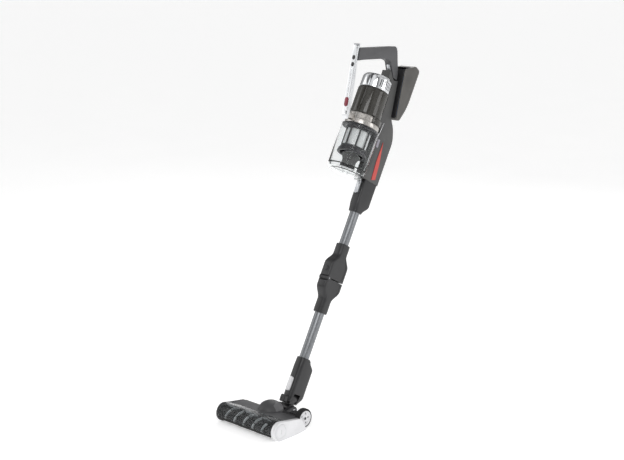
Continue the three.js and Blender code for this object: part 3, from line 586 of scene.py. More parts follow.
def cadCopy(node):
    # a CAD node's mesh in its own object, merged, with its flat faces made whole
    source = frame["nodes"][node]
    bm = bmesh.new()
    bm.from_mesh(source.data)
    bmesh.ops.remove_doubles(bm, verts=bm.verts[:], dist=0.01 * millimetre)
    bmesh.ops.dissolve_limit(bm, angle_limit=math.radians(0.5), verts=bm.verts[:], edges=bm.edges[:])
    return bm


inMetres = Matrix.Identity(4)


# ---- floor head: millimetres from the origin on the floor
head = {
    "half": 111,              # half width of the roller housing
    "rollerY": -30,
    "rollerZ": 28,
    "windowOuter": 28.5,
    "windowInner": 26.9,
    "coverFront": (-1, 50.5),
    "coverRear": (59.4, 42.5),
    "coverWall": 3,
    "humpCentre": (0, 50, 36),
    "humpHalves": (38, 42, 34),
    "saddleProud": 0.6,       # the dark hood stands this far proud of the grey saddle
}


def arcPoints(u, v, radius, start, end, steps):
    angles = [math.radians(start + (end - start) * i / steps) for i in range(steps + 1)]
    return [(u + radius * math.cos(angle), v + radius * math.sin(angle)) for angle in angles]


def makeHousing():
    finish(cadCopy("head_housing"), "headHousing", inMetres, "mouldedAbsBlack", "floor_head",
           ["head_housing"], edge=0.5)
    duct = turned([(11, 2), (12.6, 2), (12.6, 98), (11, 98)], z=26, axis="Y", soft=0.3, steps=64)
    finish(duct, "suctionDuct", headPlace, "satinAbsDark", "floor_head", ["suction_duct"])


def makeCover():
    half = head["half"]
    (frontY, frontZ), (rearY, rearZ) = head["coverFront"], head["coverRear"]
    wall = head["coverWall"]
    under = frontZ - wall
    underRear = rearZ - wall + 0.4
    outline = [(frontY, under), (56.6, underRear), (56.6, 26), (rearY, 26), (rearY, rearZ), (frontY, frontZ)]
    skin = plate(outline, -half, half, [0.8, 0, 0, 0.8, 3.5, 1.4], axis="X", segments=6)
    x, y, z = head["humpHalves"]
    centre = head["humpCentre"]
    notRear = block(-60, 60, 84, 200, 0, 100)
    inside = plate([(-20, -5), (-20, 49.6), (56.6, underRear), (56.6, -5)], -60, 60)
    hump = carve(dome(centre, (x, y, z)), block(-60, 60, -20, 200, -20, 40), notRear, inside)
    cover = weld(skin, hump)
    beam = block(-34.6, 82.6, 50, 90, 0, 36.4)
    cover = carve(cover, dome(centre, (x - 3, y - 3, z - 3)), beam)
    finish(cover, "topCover", headPlace, "mouldedAbsCharcoal", "floor_head",
           ["top_cover"], edge=0.5)
    # The grey saddle shows at the flanks; the dark hood over it ends in a rounded tail.
    proud = head["saddleProud"]
    saddle = carve(dome(centre, (x + proud, y + proud, z + proud)), dome(centre, (x, y, z)),
                   block(-60, 60, -20, 200, -20, 46.4), block(-60, 60, -60, 40, 0, 100),
                   block(-60, 60, 83.4, 200, 0, 100))
    tail = rod(24, 30, 90, 27, axis="Z", steps=96)
    bmesh.ops.scale(tail, verts=tail.verts[:], vec=(1, 1.25, 1))
    saddle = carve(saddle, tail)
    finish(saddle, "humpSaddle", headPlace, "mouldedAbsSaddleGrey", "floor_head")


def makeWindow():
    y, z, half = head["rollerY"], head["rollerZ"], head["half"]
    frontY, frontZ = head["coverFront"]
    rear = frontY - 0.3
    outline = arcPoints(y, z, head["windowOuter"], 203, 80, 48) + [(rear, frontZ), (rear, frontZ - 2.4)]
    outline += arcPoints(y, z, head["windowInner"], 76, 203, 48)
    finish(plate(outline, -half, half, edge=0.3), "rollerWindow", headPlace, "windowPolycarbonate",
           "floor_head", ["roller_window"])
    # A dark lip along the window's lower edge.
    lip = arcPoints(y, z, 29.6, 206, 192, 8) + arcPoints(y, z, 28.6, 192, 206, 8)
    finish(plate(lip, -half, half, edge=0.3), "windowLip", headPlace, "mouldedRubber",
           "floor_head")


def makeSideCaps():
    half = head["half"] + 0.3
    y, z = head["rollerY"], head["rollerZ"]
    front = arcPoints(y, z + 0.4, 28, 270, 90, 48)
    right = front + [(8, 51.5), (30, 48), (53, 44.1), (62, 34), (72, 20), (80, 3), (60, 1.4)]
    corner = [0] * 49 + [12, 0, 6, 8, 8, 3, 3]
    cap = plate(right, half, half + 13.7, corner, edge=1.6, segments=6)
    taper = plate([(127, 5), (117.8, 90), (141, 90)], -5, 80, axis="Z")
    recess = rod(22.4, 121.4, 140, y, z)
    finish(carve(cap, taper, recess), "sideCapRight", headPlace, "glossAbsWhite", "floor_head",
           ["side_cap_right"], edge=0.6)
    left = front + [(-1, 51.1), (54, 43.3), (59, 38), (59, 20), (50, 4)]
    cornerLeft = [0] * 49 + [3, 5, 4, 6, 4]
    finish(plate(left, -half - 8, -half, cornerLeft, edge=1.8, segments=6), "sideCapLeft", headPlace,
           "mouldedAbsBlack", "floor_head", ["side_cap_left"])


def makeEndCap():
    y, z = head["rollerY"], head["rollerZ"]
    back, face = 121.7, 126.2
    disc = turned([(0, back), (22, back), (22, face - 0.2), (19.6, face), (19.2, face - 0.9),
                   (18, face - 0.9), (17.6, face), (0, face)], y, z, "X", 0.25)
    slot = button(0, 0, 1.6, 7, -3, 3)
    swing(slot, math.pi / 2, "Z")
    shift(slot, (face + 1.8, y, z))
    finish(carve(disc, slot), "rollerEndCap", headPlace, "glossAbsWhite", "end_cap",
           ["roller_end_cap"], edge=0.25)


roller = {
    "from": -103, "to": 83, "drum": 19.5, "tip": 25.2,
    "rows": 5, "tufts": 62, "stripWidth": 4.2, "stripOuter": 25.2, "lead": -76, "starts": 2,
}


def helix(section, lead, length, start, steps):
    # a closed section in the (radius, x) plane, wound about X
    bm = bmesh.new()
    drawFace(bm, [(r, 0, h) for r, h in section], 0.3, 2)
    swing(bm, math.radians(start), "Z")
    bmesh.ops.spin(bm, geom=bm.verts[:] + bm.edges[:] + bm.faces[:], cent=(0, 0, 0), axis=(0, 0, 1),
                   dvec=(0, 0, length / steps), angle=2 * math.pi * length / lead, steps=steps)
    bmesh.ops.recalc_face_normals(bm, faces=bm.faces[:])
    swing(bm, math.pi / 2, "Y")
    shift(bm, (roller["from"], head["rollerY"], head["rollerZ"]))
    return bm


def makeRoller():
    y, z = head["rollerY"], head["rollerZ"]
    low, high = roller["from"], roller["to"]
    drum = turned([(4, low), (roller["drum"], low), (roller["drum"], high), (4, high)], y, z, "X", 0.8)
    finish(drum, "rollerDrum", headPlace, "fleeceAndShadeBlack", "roller", ["brush_roller"])
    shaft = rod(4, -110.8, 110.8, y, z, steps=48)
    finish(shaft, "rollerShaft", headPlace, "turnedSteel", "roller")
    length = high - low - roller["stripWidth"]
    root, outer, wide = roller["drum"] - 1, roller["stripOuter"], roller["stripWidth"]
    section = [(root, 0), (outer, 0), (outer, wide), (root, wide)]
    strips = [helix(section, roller["lead"], length, 360 * k / roller["starts"], 220)
              for k in range(roller["starts"])]
    finish(together(*strips), "rollerStrips", headPlace, "wovenStripGrey", "roller")
    # Bristle tufts in five slow spirals, each tuft a small cone with its wide end out.
    tufts = bmesh.new()
    height = roller["tip"] - roller["drum"] + 1
    for row in range(roller["rows"]):
        for i in range(roller["tufts"]):
            share = (i + 0.5) / roller["tufts"]
            angle = 2 * math.pi * (row / roller["rows"] + 0.5 * share)
            out = Matrix.Translation((low + (high - low) * share, y, z)) @ Matrix.Rotation(angle, 4, "X")
            bmesh.ops.create_cone(tufts, cap_ends=True, segments=6, radius1=0.9, radius2=1.6, depth=height,
                                  matrix=out @ Matrix.Translation((0, 0, roller["drum"] - 1 + height / 2)))
    finish(tufts, "rollerTufts", headPlace, "nylonBristle", "roller")


wheel = {"y": 92, "radius": 29, "inner": 84, "outer": 104, "tread": 40}


def makeWheel():
    y, r = wheel["y"], wheel["radius"]
    low, high = wheel["inner"], wheel["outer"]
    seat = r - 5.5
    tyre = turned([(seat, low), (r - 2.5, low), (r, low + 4), (r, high - 4), (r - 2.5, high), (seat, high)],
                  0, 0, "X", 1.2, 120)
    grooves = block(low - 1, low + 7, -0.5, 0.5, r - 1, r + 2)
    other = block(high - 7, high + 1, -0.5, 0.5, r - 1, r + 2)
    cutter = together(grooves, other)
    source = cutter.verts[:] + cutter.edges[:] + cutter.faces[:]
    for i in range(1, wheel["tread"]):
        copied = bmesh.ops.duplicate(cutter, geom=source)
        bmesh.ops.rotate(cutter, verts=only(copied["geom"], bmesh.types.BMVert), cent=(0, 0, 0),
                         matrix=Matrix.Rotation(2 * math.pi * i / wheel["tread"], 3, "X"))
    tread = carve(tyre, cutter)
    place = headPlace @ Matrix.Translation((0, y, r))
    finish(tread, "wheelTyre", place, "mouldedRubber", "wheel", ["wheel_tyre"])
    rim = seat - 0.3
    hub = turned([(4.3, low + 7), (4.3, high - 1), (8, high - 1), (9.5, high - 3.4), (rim - 5, high - 3.4),
                  (rim - 3, high - 0.4), (rim, high - 0.4), (rim, low + 1), (rim - 3, low + 1),
                  (rim - 3, low + 7)], 0, 0, "X", 0.5, 96)
    holes = [rod(3.4, low, high + 1, 14.5 * math.cos(a), 14.5 * math.sin(a), steps=32)
             for a in [2 * math.pi * i / 5 for i in range(5)]]
    finish(carve(hub, together(*holes)), "wheelHub", place, "glossAbsWhite", "wheel",
           ["wheel_hub"], edge=0.4)
    clip = turned([(0, high - 1), (3.6, high - 1), (3.6, high + 0.2), (2.4, high + 0.9), (0, high + 0.9)],
                  0, 0, "X", 0.3, 48)
    finish(clip, "wheelAxleCap", place, "satinAbsDark", "wheel")


def makeCastor():
    x, y, r = -94, 40, 12
    body = turned([(0, x - 9), (2, x - 9), (2, x - 6), (r - 2, x - 6), (r, x - 4), (r, x + 4), (r - 2, x + 6),
                   (2, x + 6), (2, x + 9), (0, x + 9)], y, r, "X", 0.5, 64)
    finish(body, "castorWheel", headPlace, "mouldedRubber", "castor", ["castor_wheel"])


def makeSole():
    # Screws and glide pads under the head.
    places = [(-100, 50), (-45, 12), (45, 12), (84, 50)]
    heads = []
    for x, y in places:
        screw = turned([(0, 0.5), (3.6, 0.5), (3.6, 1.5), (0, 1.5)], 0, 0, "Z", 0.3, 32)
        shift(screw, (x, y, 0))
        heads.append(screw)
    finish(together(*heads), "soleScrews", headPlace, "turnedSteel", "floor_head")
    pads = [plate(capsule(x, 30, 9, 3), 0.6, 1.6, 2.5, 0.3, "Z") for x in (-60, 60)]
    finish(together(*pads), "glidePads", headPlace, "mouldedAbsBlack", "floor_head")


makeHousing()
makeCover()
makeWindow()
makeSideCaps()
makeEndCap()
makeRoller()
makeWheel()
makeCastor()
makeSole()
print("floor head done")


# ---- neck, lower connector and tubes: millimetres up the wand from the neck's pitch axis
bores = {"tube": 15.3, "airway": 12, "swivel": 4.8, "pitch": 5.3}     # radii
neck = {"knuckle": 15, "half": 20.2, "swivel": 32, "eye": 14, "front": -6.8, "rear": 20}


def makeNeck():
    swivel = neck["swivel"]
    barrel = turned([(5.3, -neck["half"]), (neck["knuckle"], -neck["half"]), (neck["knuckle"], neck["half"]),
                     (5.3, neck["half"])], 0, 0, "X", 1.2)
    post = block(-11, 11, neck["front"], neck["knuckle"] - 1, 8, swivel)
    eye = turned([(4.8, neck["front"]), (neck["eye"], neck["front"]), (neck["eye"], neck["rear"]),
                  (4.8, neck["rear"])], 0, swivel, "Y", 0.8)
    grooves = [turned([(14.2, x - 0.7), (16, x - 0.7), (16, x + 0.7), (14.2, x + 0.7)], 0, 0, "X", 0, 64)
               for x in (-15, 15)]
    knuckle = carve(weld(barrel, post, eye), rod(bores["pitch"], -30, 30),
                    rod(bores["swivel"], -30, 50, axis="Y", z=swivel),
                    together(*grooves))
    finish(knuckle, "neckKnuckle", wandPlace, "satinAbsBlack", "neck",
           ["neck_knuckle"], edge=0.5)
    pin = rod(4.5, -26, 39, axis="Y", z=swivel)
    boss = plate(capsule(0, 25, 10, 11), -33, -20.3, 4, 1.2, "Y", 6)
    dimple = button(0, 25, 5, 6, -34, -32.2)
    finish(carve(weld(pin, boss), dimple), "swivelPin", wandPlace, "satinAbsBlack", "neck",
           ["swivel_pin"], edge=0.3)


def makeLowerConnector():
    sections = [(15, 12, 20, 30, 8)] + flare((15, 12, 20, 30, 8), (44, 18, 20, 44, 12), 8)
    sections += [(44, 18, 20, 44, 12), (128, 18, 20, 44, 12)]
    sections += flare((128, 18, 20, 44, 12), (152, 18, 19.4, 24, 13), 8)
    sections += [(152, 18, 19.4, 24, 13), (158, 17.5, 19, 19, 14)]
    swivel = neck["swivel"]
    slot = block(-30, 30, neck["front"] - 0.3, neck["rear"] + 0.3, 0, swivel + 15.3)
    # The cheeks of the fork are round about the swivel pin.
    cheeks = carve(block(-40, 40, -60, 60, 0, swivel + 4), rod(16.5, -61, 61, axis="Y", z=swivel),
                   block(-40, 40, -61, 61, swivel, 60))
    body = carve(column(sections), slot, cheeks, rod(bores["tube"], 100, 170, axis="Z"),
                 rod(bores["airway"], 30, 101, axis="Z"),
                 rod(bores["swivel"], -30, 60, axis="Y", z=swivel), button(0, 72, 6.4, 22.4, -40, -14.2))
    # The moulding's parting line, either side of the front ridge.
    seams = together(*[block(x - 0.35, x + 0.35, -19.4, -16, 52, 156) for x in (-9.5, 9.5)])
    body = carve(body, seams)
    finish(body, "lowerConnector", wandPlace, "satinAbsBlack", "connector",
           ["lower_connector"], edge=0.5)
    key = button(0, 72, 6, 22, -28, -17.5, 2)
    finish(key, "nozzleReleaseButton", wandPlace, "glossAbsWhite", "nozzle_button",
           ["nozzle_release_button"])


def makeTube(name, low, high, body, node):
    tube = turned([(13.6, low), (15, low), (15, high), (13.6, high)], 0, 0, "Z", 0.3, 96)
    finish(tube, name, wandPlace, "brushedAnodisedAluminium", body, [node])


makeNeck()
makeLowerConnector()
makeTube("lowerTube", 101, 327, "lower_wand", "lower_tube")
makeTube("upperTube", 500, 671, "upper_wand", "upper_tube")
print("neck and tubes done")


# ---- folding joint
fold = {"pivotY": -30, "pivotZ": 409, "barrel": 8, "knuckle": 7, "seam": 1.5, "wedge": 1.08,
        "collar": (18, 19.6, 19.6, 12), "bulge": (18, 40, 40, 7)}


def foldWedge(side):
    y, z = fold["pivotY"], fold["pivotZ"]
    return plate([(y + 0.3, z), (-60, z + side * fold["wedge"] * (60 + y)), (-60, z)], -30, 30)


def makeFold():
    y, z = fold["pivotY"], fold["pivotZ"]
    inner = fold["knuckle"] + 0.3
    collar, bulge = fold["collar"], fold["bulge"]
    low = [(303, 17.5, 18.6, 18.6, 12), (307, *collar), (343, *collar)]
    low += flare((343, *collar), (384, *bulge), 10) + [(384, *bulge), (z - fold["seam"], *bulge)]
    room = fold["barrel"] + 0.4
    lower = carve(column(low), foldWedge(-1), rod(room, inner - 0.3, 30, y, z),
                  rod(room, -30, 0.3 - inner, y, z), rod(bores["tube"], 298, 328, axis="Z"),
                  rod(bores["airway"], 327, 414, axis="Z"), block(-7, 7, 25.5, 33.4, 392, 411))
    lower = weld(lower, rod(fold["barrel"], -fold["knuckle"], fold["knuckle"], y, z))
    flanks = [plate([(-26, 392), (-26, 403), (28, 403), (28, 372), (12, 350), (-8, 350)], x, x + 1.2, 5)
              for x in (-18.6, 17.4)]
    lower = carve(lower, rod(2.5, -30, 30, y, z), together(*flanks))
    finish(lower, "foldLowerShell", wandPlace, "satinAbsBlack", "lower_wand",
           ["fold_lower_shell"], edge=0.5)
    high = [(z + fold["seam"], *bulge), (455, *bulge)] + flare((455, *bulge), (492, *collar), 10)
    high += [(492, *collar), (520, *collar), (524, 17.5, 18.6, 18.6, 12)]
    upper = carve(column(high), foldWedge(1), rod(room, -inner, inner, y, z),
                  rod(bores["tube"], 499, 529, axis="Z"), rod(bores["airway"], 404, 500, axis="Z"),
                  block(-6.4, 6.4, 26.6, 31.4, 404, 431),
                  button(0, 437, 7.4, 9.4, -50, -35))
    upper = weld(upper, rod(fold["barrel"], inner, 18, y, z), rod(fold["barrel"], -18, -inner, y, z))
    flanks = [plate([(-26, 416), (-26, 452), (-8, 486), (12, 486), (28, 452), (28, 416)], x, x + 1.2, 5)
              for x in (-18.6, 17.4)]
    upper = carve(upper, rod(2.5, -30, 30, y, z), together(*flanks))
    finish(upper, "foldUpperShell", wandPlace, "satinAbsBlack", "upper_wand",
           ["fold_upper_shell"], edge=0.5)
    finish(button(0, 437, 7, 9, -41.5, -37.8, 1), "foldReleaseButton", wandPlace, "satinAbsDark",
           "fold_button", ["fold_release_button"])


makeFold()
print("folding joint done")


# ---- handheld unit: socket and spine
spine = {
    "half": 17, "wall": 2.5, "seam": 0.15,
    # outline in (y, z) with the radius of each corner
    "outline": [(-34, 735, 1), (40, 735, 1), (40, 885, 14), (22, 922, 12), (-6, 949, 10), (-31, 1060, 3),
                (-52, 1053, 6), (-79, 1076, 2.5), (-77, 1046, 8), (-52.8, 1043, 4), (-52.8, 909, 5),
                (-34, 898, 5)],
    "room": [(-31.5, 738), (37.5, 738), (37.5, 883), (20, 919), (-8.5, 947), (-33, 1056), (-50.3, 1050),
             (-50.3, 911), (-31.5, 900)],
}
stripe = [(2, 742, 0.8), (19, 748, 0.8), (13, 800, 6), (-3, 866, 0.4), (-4, 800, 6)]
socket = {"foot": 631, "head": 734.7, "button": 708}


def outlineOf(rows):
    return [(u, v) for u, v, r in rows], [r for u, v, r in rows]


def makeSocket():
    start = (socket["foot"], 17.5, 19, 19, 12)
    sections = [start] + flare(start, (664, 18, 22, 40, 9), 10)
    sections += [(664, 18, 22, 40, 9), (socket["head"], 17, 23, 40, 7)]
    shell = carve(column(sections, 0.8), rod(bores["tube"], 626, 672, axis="Z"),
                  rod(bores["airway"], 671, 740, axis="Z"),
                  button(0, socket["button"], 6.9, 22.4, -50, -16.2))
    finish(shell, "wandSocket", wandPlace, "satinAbsBlack", "handheld",
           ["wand_socket"], edge=0.5)
    key = button(0, socket["button"], 6.5, 22, -30, -19.5, 2.2)
    ribs = together(*[block(-5, 5, -30.6, -29.4, z - 0.5, z + 0.5) for z in (694, 698, 702)])
    finish(carve(key, ribs), "wandReleaseButton", wandPlace, "paintedSilver", "wand_button",
           ["wand_release_button"], edge=0.3)


def makeSpine():
    points, radii = outlineOf(spine["outline"])
    half, wall = spine["half"], spine["wall"]
    for side, name in ((1, "Right"), (-1, "Left")):
        shell = plate(points, -half, half, radii, 2.4, "X", 6)
        room = plate(spine["room"], -half + wall if side < 0 else -1, half - wall if side > 0 else 1)
        other = block(-60, spine["seam"], -200, 200, 600, 1200)
        if side < 0:
            other = block(-spine["seam"], 60, -200, 200, 600, 1200)
        # A shallow groove runs beside the stripe, as the moulding's styling line.
        x = side * half
        groove = plate([(-24, 757), (-22.8, 757), (-22.8, 828), (-24, 828)],
                       *sorted((x - side * 0.5, x + side)), 0.5)
        shell = carve(shell, room, other, groove)
        finish(shell, "spineShell" + name, wandPlace, "mouldedAbsSpineGrey", "handheld",
               ["spine_shell_" + name.lower()], edge=0.3)
        stripePoints, stripeRadii = outlineOf(stripe)
        film = plate(stripePoints, min(x, x + side * 1.3), max(x, x + side * 1.3), stripeRadii, 0.25, "X", 5)
        finish(film, "redStripe" + name, wandPlace, "hotStampedFilmRed", "handheld",
               ["red_stripe_" + name.lower()])
        # The bright rail that the bin runs on, along the spine's front edge.
        low, high = sorted((x - side * 1.6, x + side * 0.55))
        rail = plate([(-35.3, 742), (-33.2, 742), (-32.6, 872), (-26.9, 920), (-28.9, 920), (-34.7, 872)],
                     low, high, 0.6, 0.3)
        finish(rail, "binRail" + name, wandPlace, "chromePlate", "handheld")
    latch = plate([(-31, 840), (-21, 840), (-21, 866), (-31, 866)], 17.3, 19.8, 2, 0.7)
    grips = together(*[block(19.2, 20.4, -30, -22, z - 0.6, z + 0.6) for z in (846, 850, 854, 858)])
    finish(carve(latch, grips), "binLatch", wandPlace, "acetalLilacGrey", "bin_catch",
           ["bin_latch"], edge=0.2)
    screws = [turned([(0, x), (3.2, x), (3.2, x + 0.5), (0, x + 0.5)], y, z, "X", 0.15, 32)
              for x, y, z in ((-17.4, 30, 760), (-17.4, -18, 880), (-17.4, -42, 1000))]
    finish(together(*screws), "spineScrews", wandPlace, "turnedSteel", "handheld")


makeSocket()
makeSpine()
print("socket and spine done")


# ---- dust bin and cyclone
dust = {
    "axisY": -102.7, "radius": 60, "wall": 2.4, "foot": 739, "head": 868, "lid": 16,
    "hinge": (-38, 727), "shroud": 41, "shroudFoot": 795, "shroudHead": 861, "windows": 8,
}


def makeBin():
    y, r, wall = dust["axisY"], dust["radius"], dust["wall"]
    low, high = dust["foot"], dust["head"]
    hingeY, hingeZ = dust["hinge"]
    cup = turned([(r - wall, low), (r, low), (r, high - 4), (r - 0.5, high), (r - wall, high)], y, 0,
                 "Z", 0.6, 144)
    inside = rod(r - wall, low - 30, high + 5, y, axis="Z", steps=144)
    rib = carve(block(-7, 7, -46, -35, low + 12, 860), inside)
    lugs = [weld(block(a, b, -42.3, -35.2, hingeZ, low + 24), rod(3.4, a, b, hingeY, hingeZ, steps=32))
            for a, b in ((6.3, 12), (-12, -6.3))]
    cup = carve(weld(cup, rib, *lugs), rod(1.6, -20, 20, hingeY, hingeZ, steps=24))
    finish(cup, "binCup", wandPlace, "clearPolycarbonate", "bin", ["bin_cup"])
    # Moulded ledge inside the rim, and a fill line: two thin rings, proud by half a millimetre.
    rings = [turned([(r - 0.2, z), (r + 0.5, z), (r + 0.5, z + 1), (r - 0.2, z + 1)], y, 0, "Z", 0.2, 144)
             for z in (low + 2, high - 3)]
    finish(together(*rings), "binBeads", wandPlace, "clearPolycarbonate", "bin")


def makeLid():
    y, r = dust["axisY"], dust["radius"]
    hingeY, hingeZ = dust["hinge"]
    top = dust["foot"] - 0.3
    low = top - dust["lid"]
    dish = turned([(0, low), (r - 13, low), (r - 6, low + 2.5), (r - 1.5, low + 8), (r, low + 14), (r, top),
                   (r - 3, top), (r - 4, low + 12), (r - 7, low + 7), (r - 13, low + 4), (0, low + 4)],
                  y, 0, "Z", 1.0, 144)
    lug = weld(block(-6, 6, -48, hingeY, hingeZ - 2, hingeZ + 2), rod(3.4, -6, 6, hingeY, hingeZ, steps=32))
    lid = carve(weld(dish, lug), rod(1.6, -20, 20, hingeY, hingeZ, steps=24))
    finish(lid, "binLid", wandPlace, "clearPolycarbonate", "lid", ["bin_lid"])
    seal = turned([(r - 8, top - 1.6), (r - 4.2, top - 1.6), (r - 4.2, top), (r - 8, top)], y, 0,
                  "Z", 0.7, 120)
    finish(seal, "lidSeal", wandPlace, "mouldedRubber", "lid")
    spokes = together(*[block(-0.9, 0.9, 8, r - 14, low + 3.8, low + 6.2)])
    shift(spokes, (0, y, 0))
    turnedCopies(spokes, 8, 22.5, 45, y)
    hub = turned([(0, low + 3.6), (9, low + 3.6), (9, low + 7), (0, low + 7)], y, 0, "Z", 0.8, 64)
    finish(together(spokes, hub), "lidRibs", wandPlace, "clearPolycarbonate", "lid")
    pin = rod(1.5, -12.4, 12.4, hingeY, hingeZ, steps=24)
    finish(pin, "lidPin", wandPlace, "turnedSteel", "bin")


def makeCyclone():
    y, r, low, high = dust["axisY"], dust["shroud"], dust["shroudFoot"], dust["shroudHead"]
    inner = r - 3.4
    flange = dust["radius"] - dust["wall"] - 0.6
    frameShape = turned([(inner, low - 13), (47, low - 13), (45, low - 2), (r, low + 4), (r, high),
                         (flange, high), (flange, dust["head"]), (inner, dust["head"])], y, 0, "Z", 0.6, 120)
    windows = plate([(-13.2, low + 9), (13.2, low + 9), (13.2, high - 6), (-13.2, high - 6)], r - 8,
                    r + 8, 2.2, axis="Y")
    shift(windows, (0, y, 0))
    turnedCopies(windows, dust["windows"], 22.5, 360 / dust["windows"], y)
    finish(carve(frameShape, windows), "cycloneFrame", wandPlace, "mouldedAbsCharcoal", "handheld",
           ["cyclone_frame"], edge=0.4)
    sieve = turned([(34.8, low), (36.9, low), (36.9, 867), (34.8, 867)], y, 0, "Z", 0.2, 120)
    finish(sieve, "shroudSieve", wandPlace, "etchedSieve", "handheld", ["shroud_mesh"])
    foot = dust["foot"] + 4
    cone = turned([(20, foot), (22, foot), (22, 764), (30, low - 14), (28, low - 14), (20, 765)], y, 0,
                  "Z", 0.5, 96)
    finish(cone, "cycloneCone", wandPlace, "mouldedAbsSpineGrey", "handheld", ["cyclone_cone"])
    lipRing = turned([(20.5, foot - 2), (23.4, foot - 2), (23.4, foot + 2), (20.5, foot + 2)], y, 0, "Z",
                     0.8, 96)
    finish(lipRing, "coneSeal", wandPlace, "mouldedRubber", "handheld")


makeBin()
makeLid()
makeCyclone()
print("bin and cyclone done")


# ---- motor unit
motor = {
    "ring": 54, "ringFoot": 870, "ringHead": 905, "housing": 49, "housingHead": 993,
    "cap": 47, "capFoot": 993.3, "capSide": 1027, "capHead": 1041, "slits": 9, "pitch": 8.25,
}


def makeRing():
    y, r, low, high = dust["axisY"], motor["ring"], motor["ringFoot"], motor["ringHead"]
    ring = turned([(47, low), (r, low), (r, low + 14), (r - 1.6, low + 16), (r - 1.6, high - 3),
                   (r - 4, high), (47, high)], y, 0, "Z", 0.8, 144)
    bracket = plate(capsule(0, low + 13, 8, 9), -177.2, y - r + 4, 2.5, 0.8, "Y")
    finish(weld(ring, bracket), "collarRing", wandPlace, "satinNickelPlate", "handheld",
           ["collar_ring"])
    # The housing's skirt covers the ring's upper step from its right side round the back.
    skirt = turned([(r - 1.4, low + 17), (r + 0.9, low + 17), (r + 0.9, high - 1), (r - 3.4, high + 2.6),
                    (r - 6, high + 2.6)], 0, 0, "Z", 0.7, 90, 218, -19)
    shift(skirt, (0, y, 0))
    gap = block(-16.8, 16.8, y, 200, 800, 1000)
    finish(carve(skirt, gap), "ringSkirt", wandPlace, "smokedPolycarbonate", "handheld", edge=0.4)


def makeMotorHousing():
    y, r, low, high = dust["axisY"], motor["housing"], motor["ringHead"] + 0.3, motor["housingHead"]
    shell = turned([(18, low), (r - 2, low), (r, low + 3), (r, high - 5), (r - 1.8, high), (r - 5, high),
                    (r - 3, high - 6), (r - 3, low + 4), (18, low + 4)], y, 0, "Z", 1.2, 144)
    finish(shell, "motorHousing", wandPlace, "smokedPolycarbonate", "handheld", ["motor_housing"])
    # Dark liner inside the smoked shell, as seen through it.
    liner = turned([(40, low + 6), (42.6, low + 6), (42.6, high - 8), (40, high - 8)], y, 0, "Z", 0.5, 120)
    finish(liner, "motorLiner", wandPlace, "mouldedAbsBlack", "handheld")


def makeCap():
    y, r, low = dust["axisY"], motor["cap"], motor["capFoot"]
    side, top = motor["capSide"], motor["capHead"]
    shell = turned([(r - 2.5, low), (r, low), (r, side), (r - 1.2, side + 4), (r - 5, top - 4.2),
                    (r - 16, top - 0.8), (0, top), (0, top - 2.5), (r - 17, top - 3.5), (r - 8, top - 6.5),
                    (r - 3.5, side + 2), (r - 2.5, side - 1)], y, 0, "Z", 1.0, 144)
    # Vent slits in two groups, one on each side of the cap.
    first = 90 - motor["pitch"] * (motor["slits"] - 1) / 2
    cuts = []
    for group in (0, 180):
        slit = plate(capsule(0, (low + side) / 2 + 2, 1.3, 12), -r - 4, -r + 5, 1.1, 0, "Y", 5)
        shift(slit, (0, y, 0))
        cuts.append(turnedCopies(slit, motor["slits"], first + group, motor["pitch"], y))
    # The seam under the cap's top.
    seam = turned([(r - 0.5, side + 0.6), (r + 2, side + 0.6), (r + 2, side + 1.4), (r - 0.5, side + 1.4)],
                  y, 0, "Z", 0, 120)
    finish(carve(shell, together(*cuts), seam), "filterCap", wandPlace, "chromePlate", "cap",
           ["filter_cap"], edge=0.3)
    # Dark sleeve behind the slits, round the pleated filter: a dark sheet put there as painted shade inside
    # the slits.
    sleeve = turned([(42, low + 3), (43.6, low + 3), (43.6, side - 3), (42, side - 3)], y, 0, "Z", 0.4, 120)
    finish(sleeve, "slitShadeSleeve", wandPlace, "fleeceAndShadeBlack", "handheld")
    pleats = rod(41, 996, 1022, y, axis="Z", steps=144)
    inward = [v for i, v in enumerate(sorted(pleats.verts, key=lambda v: (round(v.co.z), math.atan2(
        v.co.x, v.co.y - y)))) if i % 2]
    bmesh.ops.scale(pleats, verts=inward, vec=(0.9, 0.9, 1), space=Matrix.Translation((0, -y, 0)))
    finish(pleats, "pleatedFilter", wandPlace, "pleatedPaper", "handheld", ["filter_element"])


makeRing()
makeMotorHousing()
makeCap()
print("motor unit done")


# ---- handle: strip, loop, keys and trigger
strip = {"half": 9, "depth": 10, "length": 224}
keys = [
    # name, node, z, half width, half height, material, body, slot
    ("powerKey", "red_button", 47, 7, 14, "glossAbsRed", "power_key", "button_red"),
    ("modeKeyLower", "mode_button_lower", 160, 5, 6.5, "glossAbsBlack", "mode_key_lower", "black_moulding"),
    ("modeKeyUpper", "mode_button_upper", 181, 5, 6.5, "glossAbsBlack", "mode_key_upper", "black_moulding"),
]


